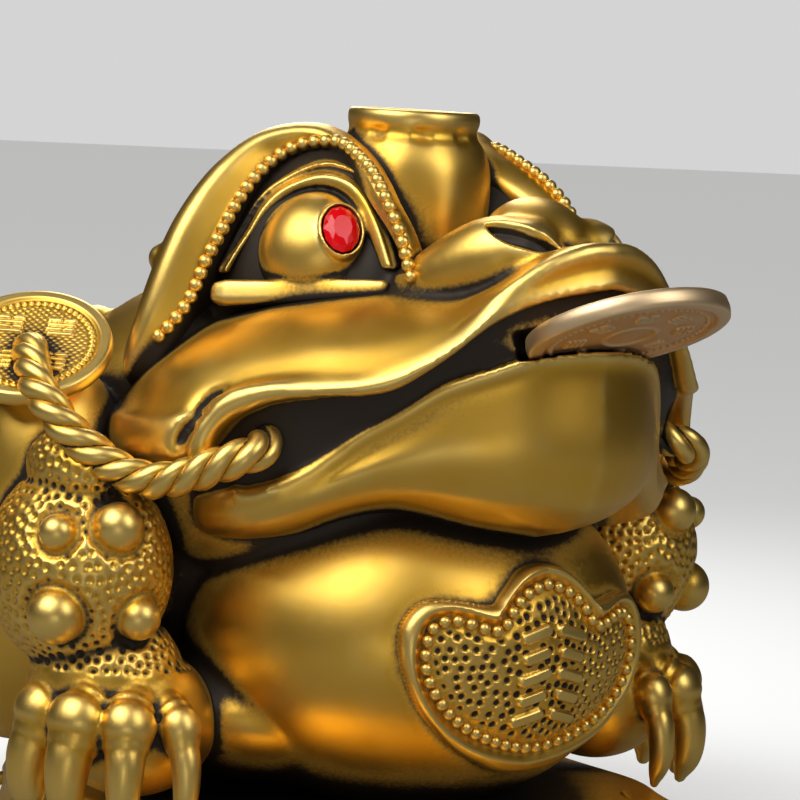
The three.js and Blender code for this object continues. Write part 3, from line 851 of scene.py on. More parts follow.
def makePot():
    m, b, top = pot["mouth"], pot["belly"], pot["top"]
    profile = [
        (8.2, pot["foot"]), (b - 3.2, 18), (b - 0.9, 24), (b, 30), (b - 0.1, 36), (b - 0.6, 39.5),
        (m + 0.9, 42.2), (m - 0.05, 43.6), (m - 0.2, 44.6), (m, 45.6), (m, top - 0.8), (m - 0.3, top - 0.2),
        (m - 1, top), (m - 1.9, top - 0.4), (m - 2.3, top - 1.6), (m - 3.2, top - 2.6),
    ]
    path = smoothPath([(r, 0, z) for r, z in profile], 0.35)
    angle = fullTurn(160)
    rings = []
    for r, _, z in path:
        under = math.exp(-(((z - 43.7) / 1.3) ** 2))
        dents = pot["dent"] * under * np.maximum(0, np.cos(pot["lobes"] * angle))
        swell = 0.012 * r * math.exp(-(((z - 32) / 7) ** 2)) * np.cos(pot["lobes"] * angle)
        reach = r - dents - swell
        flat = [reach * np.cos(angle), reach * np.sin(angle), np.full(len(angle), z)]
        rings.append(np.column_stack(flat) + fromHead(0, pot["setBack"], 0))
    base = fromHead(0, pot["setBack"], pot["foot"])
    return skin("crown_pot", rings, base, fromHead(0, pot["setBack"], top - 2.8))


crownPot = makePot()

# Body: rounded masses of flesh, melted together
body = {"voxel": 0.8, "soften": 3}
belly = {"centre": fromHead(0, -4, -36.5), "radii": np.array((38.2, 38.2, 30.0))}
back = {"centre": fromHead(0, 30, -20), "radii": np.array((49.0, 43.0, 41.0))}
arm = {"centre": fromHead(-55.7, 8.5, -27), "radii": np.array((14.2, 16.5, 17.0))}
haunch = {"centre": fromHead(-42, 46, -36), "radii": np.array((22.0, 28.0, 26.0))}


# Warts on a mass: [around, up, radius], the angles in degrees from its centre
def wartPlaces(host, rows):
    places = []
    for around, up, radius in rows:
        out = towards(around, up)
        reach = 1 / np.linalg.norm(out / host["radii"])
        places.append((host["centre"] + out * (reach - 0.15 * radius), radius))
    return places


backWarts = wartPlaces(
    back, [(-150, 56, 5), (-128, 38, 4.4), (-166, 30, 4), (-140, 14, 3.6), (-158, 74, 3.4)]
)
haunchWarts = wartPlaces(haunch, [(-95, 20, 5), (-130, 10, 4.2), (-110, 44, 3.8), (-75, -8, 3.6)])


def hindLeg():
    route = [fromHead(0, 58, -16), fromHead(0, 68, -28), fromHead(0, 68, -46), fromHead(0, 64, -60)]
    thigh = smoothPath(route, 0.8)
    parts = [bar("thigh", thigh, [(0, 14), (0.5, 11.6), (1, 9.5)], 40)]
    for around in (145, 180, 215):
        parts += toe(fromHead(0, 64, -56), around, 9, 3.8, -11)
    return parts


toeWidth = [
    (0, 1), (0.35, 0.98), (0.5, 0.94), (0.56, 0.8), (0.61, 0.9), (0.66, 0.8), (0.74, 0.94), (0.86, 0.93),
    (1, 0.8),
]
clawWidth = [(0, 0.7), (0.4, 0.64), (0.8, 0.48), (1, 0.22)]


# A toe: a knuckled bar that arches out from the foot, and a claw that curves down from it
def toe(root, around, length, thick, tip):
    out = towards(around, 0)

    def at(share, rise):
        place = root + out * length * share
        place[2] = root[2] + rise
        return place

    knuckles = smoothPath([at(0, 0), at(0.5, 1.6), at(0.86, 0.4), at(1.0, -2.6)], 0.25)
    claw = smoothPath([at(0.97, -2), at(1.14, -5.5), at(1.19, -10.5), at(1.08, tip)], 0.4)
    return [
        bar("toe", knuckles, [(share, thick * size) for share, size in toeWidth], 28),
        bar("claw", claw, [(share, thick * size) for share, size in clawWidth]),
    ]


def makeBody():
    both = [
        mass("haunch", haunch["centre"], haunch["radii"]),
        mass("shoulder", fromHead(-52, 26, -14), (13, 15, 19.5)),
    ]
    both += [mass("wart", centre, (radius,) * 3, segments=32) for centre, radius in backWarts + haunchWarts]
    parts = [
        mass("belly", belly["centre"], belly["radii"], segments=96),
        mass("back", back["centre"], back["radii"], segments=96),
        mass("chest", fromHead(0, 9, -14), (46, 36, 22), segments=96),
        mass("rump", fromHead(0, 22, -50), (50, 48, 16), segments=96),
    ]
    return fuse("body", parts + paired(both) + hindLeg(), body["voxel"], body["soften"])


toadBody = makeBody()
say("body")

# Arms and front feet
armWarts = wartPlaces(arm, [(-49, 27, 3.3), (-8, 30, 4.4), (-47, -25, 4.9), (8, -23, 3.9)])
foot = {
    "heel": fromHead(-48.4, 1.8, -51), "spread": (-103, -69, -37, -3), "thick": (5.8, 5.6, 4.8, 3.6),
    "length": 10.2, "tip": -15.5,
}
pits = {"spacing": 1.45, "width": 0.55, "depth": 0.5}


def makeArm():
    parts = [
        mass("arm", arm["centre"], arm["radii"], segments=96),
        mass("forearm", fromHead(-51.6, 5, -46.4), (12.5, 13.5, 14)),
        mass("upper_arm", fromHead(-58.5, 7, -11), (6.5, 10, 6.5)),
        mass("heel", foot["heel"], (13.6, 13.2, 12)),
    ]
    parts += [mass("wart", centre, (radius,) * 3, segments=40) for centre, radius in armWarts]
    for around, thick in zip(foot["spread"], foot["thick"]):
        root = foot["heel"] + towards(around, 0) * 5 + (0, 0, 1.6)
        parts += toe(root, around, foot["length"], thick, foot["tip"])
    return fuse("right_arm", parts, 0.42, 1)


# Places spread over the chosen vertices, no two nearer than the spacing
def scattered(points, spacing):
    order = dice.permutation(len(points))
    cells, kept = {}, []
    for i in order:
        p = points[i]
        key = tuple(int(math.floor(c / spacing)) for c in p)
        close = False
        for dx in (-1, 0, 1):
            for dy in (-1, 0, 1):
                for dz in (-1, 0, 1):
                    for q in cells.get((key[0] + dx, key[1] + dy, key[2] + dz), ()):
                        close = close or (p - q) @ (p - q) < spacing**2
        if not close:
            cells.setdefault(key, []).append(p)
            kept.append(p)
    return np.array(kept)


def nearest(centres, points):
    tree = KDTree(len(centres))
    for i, c in enumerate(centres):
        tree.insert(c, i)
    tree.balance()
    return np.array([tree.find(p)[2] for p in points])


# Punched skin between the warts, and a groove round each wart
def roughen(piece, warts, chosen, settings):
    points, normals = pointsOf(piece), normalsOf(piece)
    near = np.where(chosen(points))[0]
    push = np.zeros(len(near))
    clear = np.ones(len(near))
    for centre, radius in warts:
        d = np.linalg.norm(points[near] - centre, axis=1) - radius
        push -= 0.8 * np.exp(-(((d - 0.5) / 0.6) ** 2))
        clear *= ease(d, 0.5, 1.2)
    dots = scattered(points[near], settings["spacing"])
    gap = nearest(dots, points[near])
    pit = clear * (1 - ease(gap, 0.2 * settings["width"], 1.5 * settings["width"]))
    push -= settings["depth"] * pit
    points[near] += normals[near] * push[:, None]
    movePoints(piece, points)
    amount = np.zeros(len(points))
    amount[near] = 0.15 * clear + 0.45 * pit
    addPatinaAndShade(piece, amount)


rightArm = makeArm()
roughen(rightArm, armWarts, lambda p: p[:, 2] > headCentre[2] - 42, pits)
say("arms")

# Ropes of three strands
rope = {"strand": 1.6, "offset": 1.4, "pitch": 13.6, "lay": -1, "step": 0.35}
ropeRoutes = [
    [
        fromHead(-38, -15, -3.4), fromHead(-41.4, -20, -4.4), fromHead(-44, -21.7, -5.4),
        fromHead(-46.4, -21.1, -6.3), fromHead(-49, -18.4, -7.9), fromHead(-52.2, -13.4, -10.3),
        fromHead(-54.8, -8.2, -11.3), fromHead(-58, -3, -9.7), fromHead(-62.1, 1.6, -5.6),
        fromHead(-64.6, 5.4, -1.2), fromHead(-64.8, 9.4, 1.9), fromHead(-63.4, 13.2, 4.4),
        fromHead(-61.3, 17.4, 6.2), fromHead(-58.4, 21.6, 6),
    ],
    [
        fromHead(-56, 25, 4.6), fromHead(-57, 34, -2), fromHead(-55, 45, -8), fromHead(-48, 56, -12),
        fromHead(-37, 65, -14), fromHead(-22, 71.5, -14), fromHead(-8, 74, -12),
    ],
]


def makeRope(name, route):
    path = smoothPath(route, rope["step"])
    frames = framesAlong(path)
    run = np.arange(len(path)) * rope["step"]
    strands = []
    for k in range(3):
        angle = rope["lay"] * 2 * np.pi * run / rope["pitch"] + 2 * np.pi * k / 3
        offset = frames[:, 1] * np.cos(angle)[:, None] + frames[:, 2] * np.sin(angle)[:, None]
        strands.append(bar("strand", path + rope["offset"] * offset, rope["strand"], 14))
    strands.append(bar("core", path, rope["offset"] * 0.8, 8))
    made = join(name, strands)
    points = pointsOf(made)
    reach = np.min(np.linalg.norm(points[:, None] - path[None, ::2], axis=2), axis=1)
    addPatinaAndShade(made, 0.15 + 1.8 * (1 - ease(reach, 2.1, 2.8)))
    return made


ropes = [makeRope(f"rope_{i + 1}", route) for i, route in enumerate(ropeRoutes)]
say("ropes")

# Coins: discs whose faces are height fields
strung = {
    "size": (26, 2.6),  # diameter and thickness
    "centres": [fromHead(-58.5, 21.6, 6.4), fromHead(-66, 29.4, -15.4)],
    "faces": [(-44, 54), (-52, 8)],  # around and up
}


# Rows of short bars, that stand where an inscription is, as a height from 0 to 1 at each place
def barRows(x, y, centre, turn, rows, size, thick=0.09):
    c, s = math.cos(turn), math.sin(turn)
    u = (x - centre[0]) * c + (y - centre[1]) * s
    v = -(x - centre[0]) * s + (y - centre[1]) * c
    height = np.zeros_like(x)
    soft = thick + 0.11 if thick < 0.2 else 1.7 * thick
    for u0, v0, halfLength, tilt in rows:
        ct, st = math.cos(tilt), math.sin(tilt)
        a = (u - u0 * size) * ct + (v - v0 * size) * st
        b = -(u - u0 * size) * st + (v - v0 * size) * ct
        d = np.hypot(np.maximum(np.abs(a) - halfLength * size, 0), b)
        height = np.maximum(height, 1 - ease(d, thick * size, soft * size))
    return height


# [along, up, half length, tilt] of each bar, in shares of the block's size
barBlock = [
    (-0.45, 0.62, 0.32, 0), (0.5, 0.62, 0.28, 0), (0.0, 0.2, 0.75, 0), (-0.4, -0.22, 0.4, 0),
    (0.55, -0.22, 0.22, 0), (0.05, -0.64, 0.7, 0),
]


# Several blocks of bars round a coin's middle, [count, share of the radius, size, height, turned outwards]
def barBlocks(x, y, radius, count, share, size, rise, outwards):
    height = np.zeros_like(x)
    for k in range(count):
        a = 2 * math.pi / count * k + math.pi / count
        centre = (share * radius * math.cos(a), share * radius * math.sin(a))
        turn = a - math.pi / 2 if outwards else 0.0
        height = np.maximum(height, rise * barRows(x, y, centre, turn, barBlock, size))
    return height


# A disc whose rings are radii from its middle outwards. The underside is struck as well, or flat.
def disc(name, frameAt, diameter, thickness, relief, rings, sides, both=False):
    radius, half, low = diameter / 2, thickness / 2, 0.12 * thickness
    turn = circle(sides)

    def face(sign):
        made = []
        for r in rings[1:]:
            flat = turn * r
            z = half - low + relief(flat[:, 0] * sign, flat[:, 1], radius)
            made.append(np.column_stack([flat, sign * z]))
        return made

    rim = []
    for t in np.linspace(0.2, 0.8, 7):
        swell = 0.18 * math.sin(math.pi * t)
        z = half - low - t * (thickness - 2 * low)
        rim.append(np.column_stack([turn * (radius + swell), np.full(sides, z)]))
    under = face(-1)[::-1] if both else [np.column_stack([turn * radius * 0.98, np.full(sides, -half)])]
    rows = [placed(row, frameAt) for row in face(1) + rim + under]
    middle = half - low + float(relief(np.zeros(1), np.zeros(1), radius)[0])
    bottom = -middle if both else -half
    return skin(name, rows, placed((0, 0, middle), frameAt), placed((0, 0, bottom), frameAt))


# A ring of small round beads, as a height at each place
def beadCircle(r, turn, reach, count, pitch, size):
    along = (turn * count / (2 * np.pi)) % 1 - 0.5
    return np.sqrt(np.maximum(0, size - (along * pitch) ** 2 - (r - reach) ** 2))


def wovenFace(x, y, radius):
    r = np.hypot(x, y)
    rim = ease(r, radius - 2.2, radius - 1.7) - ease(r, radius - 0.5, radius + 0.1) * 0.7
    pitch, beadRing = 1.12, radius - 3.0
    bead = beadCircle(r, np.arctan2(y, x), beadRing, int(2 * math.pi * beadRing / pitch), pitch, 0.21) * 0.9
    cell = 0.63
    row = np.floor(y / cell)
    across = np.abs(np.sin(np.pi * (x / (2 * cell) + 0.5 * (row % 2))))
    weave = across * np.abs(np.sin(np.pi * y / cell)) ** 0.6
    inField = 1 - ease(r, radius - 3.9, radius - 3.5)
    height = 0.42 * rim + bead + 0.18 * weave * inField
    return np.maximum(height, barBlocks(x, y, radius, 4, 0.46, 2.6, 0.5, False))


def plainFace(x, y, radius):
    r = np.hypot(x, y)
    return 0.45 * (ease(r, radius - 3.6, radius - 2.2) - 0.8 * ease(r, radius - 1.0, radius + 0.1))


def coinFace(x, y, radius):
    r = np.hypot(x, y)
    rim = ease(r, radius - 2.5, radius - 2.1) - 0.5 * ease(r, radius - 0.35, radius + 0.05)
    count, beadRing = 66, radius - 3.4
    bead = beadCircle(r, np.arctan2(y, x), beadRing, count, 2 * math.pi * beadRing / count, 0.16)
    height = np.maximum(0.4 * rim + 0.9 * bead, barBlocks(x, y, radius, 8, 0.56, 1.9, 0.45, True))
    return np.maximum(height, 0.4 * np.exp(-(((r - 0.26 * radius) / 0.35) ** 2)))


wovenRings = list(np.linspace(0, 12.6, 62)) + [12.8, 13]
plainRings = list(np.linspace(0, 9, 10)) + list(np.linspace(9.4, 13, 14))
coinRings = list(np.linspace(0, 15.3, 60)) + [15.55, 15.8]
stringFrames = [frameFacing(at, towards(*face)) for at, face in zip(strung["centres"], strung["faces"])]
strungCoins = [
    disc("strung_coin_1", stringFrames[0], *strung["size"], wovenFace, wovenRings, 400),
    disc("strung_coin_2", stringFrames[1], *strung["size"], plainFace, plainRings, 160),
]


# The field of a coin is dark between what stands out on it
def stainCoin(piece, frameAt, radius, amount):
    centre, axes = frameAt
    local = (pointsOf(piece) - centre) @ axes.T
    low = local[:, 2].max() - local[:, 2]
    addPatinaAndShade(piece, amount * (np.hypot(local[:, 0], local[:, 1]) < radius) * ease(low, 0.15, 0.45))


stainCoin(strungCoins[0], stringFrames[0], 9.4, 1.6)
coinSize = coin["diameter"], coin["thickness"]
mouthCoin = disc("mouth_coin_struck", coinFrame, *coinSize, coinFace, coinRings, 360, True)
say("coins")

# Plaque on the belly, a cloud head. Its edge and its line of beads are reaches from its middle by the angle
# from straight down.
plaque = {
    "rise": -4, "proud": 2.4, "field": 0.9,
    "beads": 2.0, "beadSpacing": 2.1, "pitSpacing": 1.5, "strokeSpacing": 3.2,
    "edge": [
        (0, 14.4), (20, 14.7), (39, 15.4), (67, 18.8), (84, 22.4), (98, 25.4), (108, 26.6), (115, 26),
        (122, 24.2), (129, 20.5), (136, 17.2), (141, 16), (148, 16.2), (155, 16.7), (168, 18), (180, 18.3),
    ],
    "beadLine": [
        (0, 10), (13, 10), (32, 10.7), (50, 12.3), (65, 14.6), (82, 18.2), (97, 21.4), (108, 22.3),
        (115, 21.8), (121, 19.4), (127, 14.6), (134, 12.8), (144, 13.2), (163, 14.4), (180, 15.1),
    ],
}


# Places on the belly at arcs to the side and heights from its middle, raised by some amount
def onBelly(sideways, height, raised):
    radii = belly["radii"]
    up = np.arcsin(np.clip(height / radii[2], -0.98, 0.98))
    around = sideways / (radii[0] * np.maximum(np.cos(up), 0.5))
    out = np.stack([np.sin(around) * np.cos(up), -np.cos(around) * np.cos(up), np.sin(up)], axis=-1)
    normal = unit(out / radii)
    return belly["centre"] + out * radii + normal * np.asarray(raised)[..., None]


def makePlaque():
    sides, rise = 480, plaque["rise"]
    angle = np.linspace(-np.pi, np.pi, sides, endpoint=False)
    turn = np.degrees(np.abs(angle))
    edge, inner = readTable(plaque["edge"], turn), readTable(plaque["beadLine"], turn)

    def flatAt(reach):
        return np.stack([reach * np.sin(angle), rise - reach * np.cos(angle)], axis=-1)

    def gapTo(places, line):
        gaps = (np.hypot(*(row[:, None] - line[None]).transpose(2, 0, 1)) for row in places)
        return np.array([gap.min(axis=1) for gap in gaps])

    shares = np.concatenate([np.linspace(0.012, 0.8, 64), np.linspace(0.81, 1.05, 26)])
    flat = np.stack([flatAt(s * edge) for s in shares])
    beyond = np.where(shares[:, None] > 1, -1, 1)
    toEdge = gapTo(flat, flatAt(edge)[::2]) * beyond
    toBeads = gapTo(flat, flatAt(inner)[::2]) * np.where(shares[:, None] * edge > inner, 1, -1)
    roll = ease(toEdge, -1.4, 1.8) * ease(toBeads, 0.7, 2.0)
    level, proud = plaque["field"], plaque["proud"]
    height = -1.0 + (level + 1.0) * ease(toEdge, -1.4, 1.0) + (proud - level) * roll
    places = flat.reshape(-1, 2)
    inField = ease(-toBeads, 1.0, 1.8)
    field = inField.ravel() > 0.2
    dots = scattered(np.column_stack([places[field], np.zeros(field.sum())]), plaque["pitSpacing"])
    net = nearest(dots, np.column_stack([places, np.zeros(len(places))])).reshape(inField.shape)
    pit = 1 - ease(net, 0.3, 0.78)
    height = height - inField * 0.6 * pit + inField * 0.2
    lift = np.zeros_like(height)
    for column, lean in ((-3.4, 0.3), (3.4, -0.25)):
        for k in range(5):
            up = plaque["strokeSpacing"] * (2 - k)
            bars = [(0, 0, 2.0 - 0.4 * (k % 2), lean)]
            centre = (column, rise + 1.6 + up)
            lift = np.maximum(lift, barRows(flat[..., 0], flat[..., 1], centre, 0.0, bars, 1.0, 0.66))
    height = np.maximum(height, level + 0.95 * lift - 2 * (lift < 0.02))
    rings = [onBelly(row[:, 0], row[:, 1], h) for row, h in zip(flat, height)]
    inset = flat[[-1, 40]] * 0.97 + (0, rise * 0.03)
    under = [onBelly(row[:, 0], row[:, 1], np.full(sides, -3.5)) for row in inset]
    poles = [onBelly(np.zeros(1), np.full(1, rise), np.full(1, h))[0] for h in (height[0].mean(), -4.0)]
    made = skin("plaque", rings + under, *poles)
    amount = np.zeros(len(made.data.vertices))
    amount[: height.size] = (inField * (0.3 + 0.35 * pit) * (1 - lift)).ravel()
    addPatinaAndShade(made, amount)
    line = flatAt(inner)
    spots = evenly(np.vstack([line, line[:1]]), plaque["beadSpacing"])[:-1]
    centres = onBelly(spots[:, 0], spots[:, 1], np.full(len(spots), level + 0.25))
    return made, beads("plaque_beads", centres, plaque["beads"])


plaquePiece, plaqueBeads = makePlaque()
say("plaque")

# Beads along the hood, where the photograph shows them
browRow = {"raised": 0.15, "spacing": 2.04, "diameter": 2.25}
browLine = smoothPath(onPieces(beadPixels, [rightHood, head], browRow["raised"]), 0.4)
browBeads = beads("right_brow_beads", evenly(browLine, browRow["spacing"]), browRow["diameter"])

# Base: a low oval heap, with coins lying round it
base = {
    "halfWidth": 53, "halfLength": 61, "setBack": 4, "power": 0.9,
    "coins": 22, "coinSize": (15, 2.0), "coinRings": list(np.linspace(0, 7.5, 16)),
    "rows": [  # share of the outline and height
        (0.5, 0), (0.96, 0), (0.99, 0.4), (1, 1.4), (1, 4), (1, 7), (0.995, 8.6), (0.985, 9.8), (0.965, 10.7),
        (0.94, 11), (0.7, 11.4), (0.4, 11.8),
    ],
}


def makeBase():
    angle = fullTurn(300)
    x = base["halfWidth"] * signedPower(np.sin(angle), base["power"])
    y = -base["halfLength"] * signedPower(np.cos(angle), base["power"])
    outline = np.column_stack([x, y, 0 * x])
    halfMean = (base["halfWidth"] + base["halfLength"]) / 2
    rings = []
    for share, z in base["rows"]:
        bumpy = 0.9 < share and z > 0.5
        bump = 0.9 * np.sin(9 * angle + 1.3 * z) * np.sin(5 * angle - 0.7) if bumpy else 0 * angle
        ring = outline * share + (0, base["setBack"], z)
        rings.append(ring - outline / halfMean * np.maximum(bump, -0.3)[:, None])
    return skin("base", rings, (0, base["setBack"], 0), (0, base["setBack"], 12))


basePiece = makeBase()


def smallFace(x, y, radius):
    return plainFace(x * 1.5, y * 1.5, radius * 1.5) * 0.8


# Coins leaning on the base's edge, steep and less steep in turn
def baseCoins():
    made = []
    for i in range(base["coins"]):
        angle = 2 * math.pi * (i + 0.5) / base["coins"]
        sine, cosine = math.sin(angle), math.cos(angle)
        x = 0.93 * base["halfWidth"] * math.copysign(abs(sine) ** base["power"], sine)
        y = 0.93 * base["halfLength"] * math.copysign(abs(cosine) ** base["power"], cosine)
        tilt, z = (62, 7.4) if i % 2 else (48, 5.6)
        facing = towards(math.degrees(math.atan2(x, y)), tilt)
        at = frameFacing((x, base["setBack"] - y, z), facing)
        made.append(disc("coin", at, *base["coinSize"], smallFace, base["coinRings"], 72))
    return join("base_coins", made)


heap = baseCoins()
say("base")


# How far from the eye's middle a line of the picture runs, on the way to each point of it
def reachOfLine(pixels, seen):
    line = spaced(pixels, 200) - eyePixel
    around = np.arctan2(line[:, 1], line[:, 0]) % (2 * np.pi)
    order = np.argsort(around)
    places = np.arctan2(seen[:, 1], seen[:, 0]) % (2 * np.pi)
    return np.interp(places, around[order], np.hypot(*line[order].T))


# The grooves of the eye and the hood's inside are dark, and painted shade darkens the eyeball towards its rim
# and its left side, lays a painted shadow line under the eyeball and darkens the ledge's lower half and its
# left end. The limits are pixels of the picture.
def eyePatinaAndShade():
    seen = seenAt(pointsOf(rightEye)) - eyePixel
    reach = np.hypot(*seen.T)
    groove, inner, outer = (reachOfLine(lidPixels[k], seen) for k in ("groove", "inner", "outer"))
    amount = 0.8 * np.exp(-(((reach - groove) / 4) ** 2))
    amount = amount + 0.3 * ease(reach / groove, 0.74, 1) * (reach < groove)
    amount = amount + 0.5 * ease(-seen[:, 0], 24, 60) * (reach < groove)
    amount = amount + 1.1 * ease(reach - inner, 5, 10) * (1 - 0.7 * np.exp(-(((reach - outer) / 3) ** 2)))
    amount = amount + 0.6 * ease(reach - outer, 5, 9)
    amount = amount * (seen[:, 1] < 22) + 0.5 * (seen[:, 1] >= 22) * (seen[:, 1] < 28)
    amount = amount + 0.4 * ease(seen[:, 1], 38, 48)
    amount = amount + 0.3 * ease(seen[:, 1], 28, 30) * ease(-seen[:, 0], 60, 90)
    addPatinaAndShade(rightEye, amount)


# Painted shade on the hood's inside under the beads and on its lower end by the cheek
def paintHoodShade():
    seen = seenAt(pointsOf(rightHood)) - eyePixel
    inside = reachOfLine(beadPixels, seen) - np.hypot(*seen.T)
    addPatinaAndShade(rightHood, np.maximum(1.6 * ease(inside, 2, 6), 1.2 * ease(seen[:, 1], 72, 104)))


# Fewer triangles where a form is smooth
def lighten(piece, share):
    thin = piece.modifiers.new("thin", "DECIMATE")
    thin.ratio = share
    applyAll(piece)


lighter = [
    (head, 0.5), (toadBody, 0.32), (rightEye, 0.4), (rightHood, 0.4), (rightArm, 0.7), (crownPot, 0.5),
    (heap, 0.6), (ropes[1], 0.6),
]
for piece, share in lighter:
    lighten(piece, share)
eyePatinaAndShade()
paintHoodShade()

# Left side copies
leftPairs = [
    (rightEye, "left_eye"), (rightHood, "left_hood"), (rightArm, "left_arm"), (ropes[0], "left_rope_1"),
    (ropes[1], "left_rope_2"), (strungCoins[0], "left_strung_coin_1"), (strungCoins[1], "left_strung_coin_2"),
    (browBeads, "left_brow_beads"),
]
gems = [makeGem("right_gem")]
gems.append(mirrorOf(gems[0], "left_gem"))
casting = [head, toadBody, crownPot, plaquePiece, plaqueBeads, basePiece, heap]
for piece, name in leftPairs:
    casting += [piece, mirrorOf(piece, name)]


# How hollow the metal is round each vertex, from a grid of what is inside the casting, blurred over several
# lengths
grid = {"low": np.array((-80.0, -82.0, -3.0)), "high": np.array((80.0, 82.0, 128.0)), "cell": 0.5}


def filledCells(pieces):
    cell, low = grid["cell"], grid["low"]
    shape = np.ceil((grid["high"] - low) / cell).astype(int)
    change = np.zeros((shape[0], shape[1], shape[2] + 1), np.int8)
    for piece in pieces:
        mesh = piece.data
        mesh.calc_loop_triangles()
        index = np.empty(len(mesh.loop_triangles) * 3, np.int32)
        mesh.loop_triangles.foreach_get("vertices", index)
        corners = ((pointsOf(piece) - low) / cell - 0.5)[index.reshape(-1, 3)]
        corners[..., :2] += (0.00137, 0.00071)  # so that no line runs through a corner
        first = np.ceil(corners[..., :2].min(axis=1)).astype(int)
        spans = np.floor(corners[..., :2].max(axis=1)).astype(int) - first
        a, b, c = corners.transpose(1, 0, 2)
        area = (b[:, 0] - a[:, 0]) * (c[:, 1] - a[:, 1]) - (c[:, 0] - a[:, 0]) * (b[:, 1] - a[:, 1])
        usable = (spans >= 0).all(axis=1) & (np.abs(area) > 1e-9)
        for di in range(int(spans[usable, 0].max()) + 1):
            wide = usable & (spans[:, 0] >= di)
            for dj in range(int(spans[wide, 1].max()) + 1):
                here = np.where(wide & (spans[:, 1] >= dj))[0]
                x, y = first[here, 0] + di, first[here, 1] + dj
                p, q, r = a[here], b[here], c[here]
                u = ((q[:, 0] - x) * (r[:, 1] - y) - (r[:, 0] - x) * (q[:, 1] - y)) / area[here]
                v = ((r[:, 0] - x) * (p[:, 1] - y) - (p[:, 0] - x) * (r[:, 1] - y)) / area[here]
                w = 1 - u - v
                hit = (u >= 0) & (v >= 0) & (w >= 0)
                z = (u * p[:, 2] + v * q[:, 2] + w * r[:, 2])[hit]
                i, j = np.clip(x[hit], 0, shape[0] - 1), np.clip(y[hit], 0, shape[1] - 1)
                k = np.clip(np.ceil(z).astype(int), 0, shape[2])
                sign = np.where(area[here][hit] > 0, -1, 1).astype(np.int8)
                np.add.at(change, (i, j, k), sign)
    return (np.cumsum(change, axis=2, dtype=np.int16)[:, :, :-1] > 0).astype(np.float32)


# The mean over a box round each cell, taken twice along each axis
def blurred(cells, radius):
    width = 2 * radius + 1
    for axis in range(3):
        for _ in range(2):
            pad = [(0, 0)] * 3
            pad[axis] = (radius + 1, radius)
            total = np.cumsum(np.pad(cells, pad, mode="edge"), axis=axis, dtype=np.float32)
            upper = np.take(total, np.arange(width, total.shape[axis]), axis=axis)
            lower = np.take(total, np.arange(0, total.shape[axis] - width), axis=axis)
            cells = (upper - lower) / width
    return cells


def halved(cells):
    s = [n // 2 * 2 for n in cells.shape]
    c = cells[: s[0], : s[1], : s[2]]
    return c.reshape(s[0] // 2, 2, s[1] // 2, 2, s[2] // 2, 2).mean(axis=(1, 3, 5))


def sampled(cells, cell, points):
    p = (points - grid["low"]) / cell - 0.5
    i = np.clip(np.floor(p).astype(int), 0, np.array(cells.shape) - 2)
    t = np.clip(p - i, 0, 1)
    value = 0
    for corner in np.ndindex(2, 2, 2):
        share = np.where(corner, t, 1 - t).prod(axis=1)
        value = value + share * cells[tuple((i + corner).T)]
    return value


def storeHollows(pieces):
    cells = filledCells(pieces)
    say("cells filled")
    fine = blurred(cells, 2)
    coarse = halved(cells)
    levels = {"fineHollow": fine, "midHollow": blurred(coarse, 2), "broadHollow": blurred(halved(coarse), 3)}
    for piece in pieces:
        points = pointsOf(piece)
        for k, (name, values) in enumerate(levels.items()):
            made = piece.data.attributes.new(name, "FLOAT", "POINT")
            hollow = sampled(values, grid["cell"] * 2**k, points) - 0.5
            made.data.foreach_set("value", hollow.astype(np.float32))
    say("hollows")


storeHollows(casting + [mouthCoin])


# Painted shade: the mouth behind the lips, the coin's slot and the head inside the hood are darkened
def paintMouthShade():
    points = pointsOf(head)
    seen = seenAt(points * np.where(points[:, :1] > 0, (-1, 1, 1), 1)) - eyePixel
    behind = 1.6 * ease(reachOfLine(beadPixels, seen) - np.hypot(*seen.T), 2, 6) * (seen[:, 1] < 24)
    amount = behind * (1 - ease(points[:, 1], -3, 5))
    for i, p in enumerate(points):
        for tree in mouthTrees:
            gap = tree.find_nearest(Vector(p) * mm, 1.5 * mm)[3]
            if gap is not None:
                amount[i] = max(amount[i], 1 - ease(gap / mm, 0.45, 1.2))
    addPatinaAndShade(head, amount)


paintMouthShade()
# Painted shade: the body darkens towards the base, by the height above the ground
addPatinaAndShade(toadBody, 0.8 * (1 - ease(pointsOf(toadBody)[:, 2], 13, 27)))
addPatinaAndShade(basePiece, 0.5)
addPatinaAndShade(heap, 0.12)


# Materials
def node(tree, kind, **inputs):
    made = tree.nodes.new(kind)
    for key, value in inputs.items():
        made.inputs[key].default_value = value
    return made


def attribute(tree, name):
    made = tree.nodes.new("ShaderNodeAttribute")
    made.attribute_name = name
    return made.outputs["Fac"]


# A node that reckons with numbers or the outputs of other nodes
def reckon(tree, operation, a, b=None, c=None, clamp=False):
    made = tree.nodes.new("ShaderNodeMath")
    made.operation = operation
    made.use_clamp = clamp
    for i, value in enumerate((a, b, c)):
        if value is None:
            continue
        if isinstance(value, (int, float)):
            made.inputs[i].default_value = value
        else:
            tree.links.new(value, made.inputs[i])
    return made.outputs[0]


def blendColour(tree, factor, a, b):
    made = tree.nodes.new("ShaderNodeMix")
    made.data_type = "RGBA"
    for socket, value in ((made.inputs[0], factor), (made.inputs[6], a), (made.inputs[7], b)):
        if hasattr(value, "links"):
            tree.links.new(value, socket)
        else:
            socket.default_value = value
    return made.outputs[2]


def newGroup(name, inputs, outputs):
    group = bpy.data.node_groups.new(name, "ShaderNodeTree")
    for label, kind, value in inputs:
        socket = group.interface.new_socket(label, in_out="INPUT", socket_type=kind)
        if value is not None:
            socket.default_value = value
    for label, kind in outputs:
        group.interface.new_socket(label, in_out="OUTPUT", socket_type=kind)
    return group, group.nodes.new("NodeGroupInput"), group.nodes.new("NodeGroupOutput")
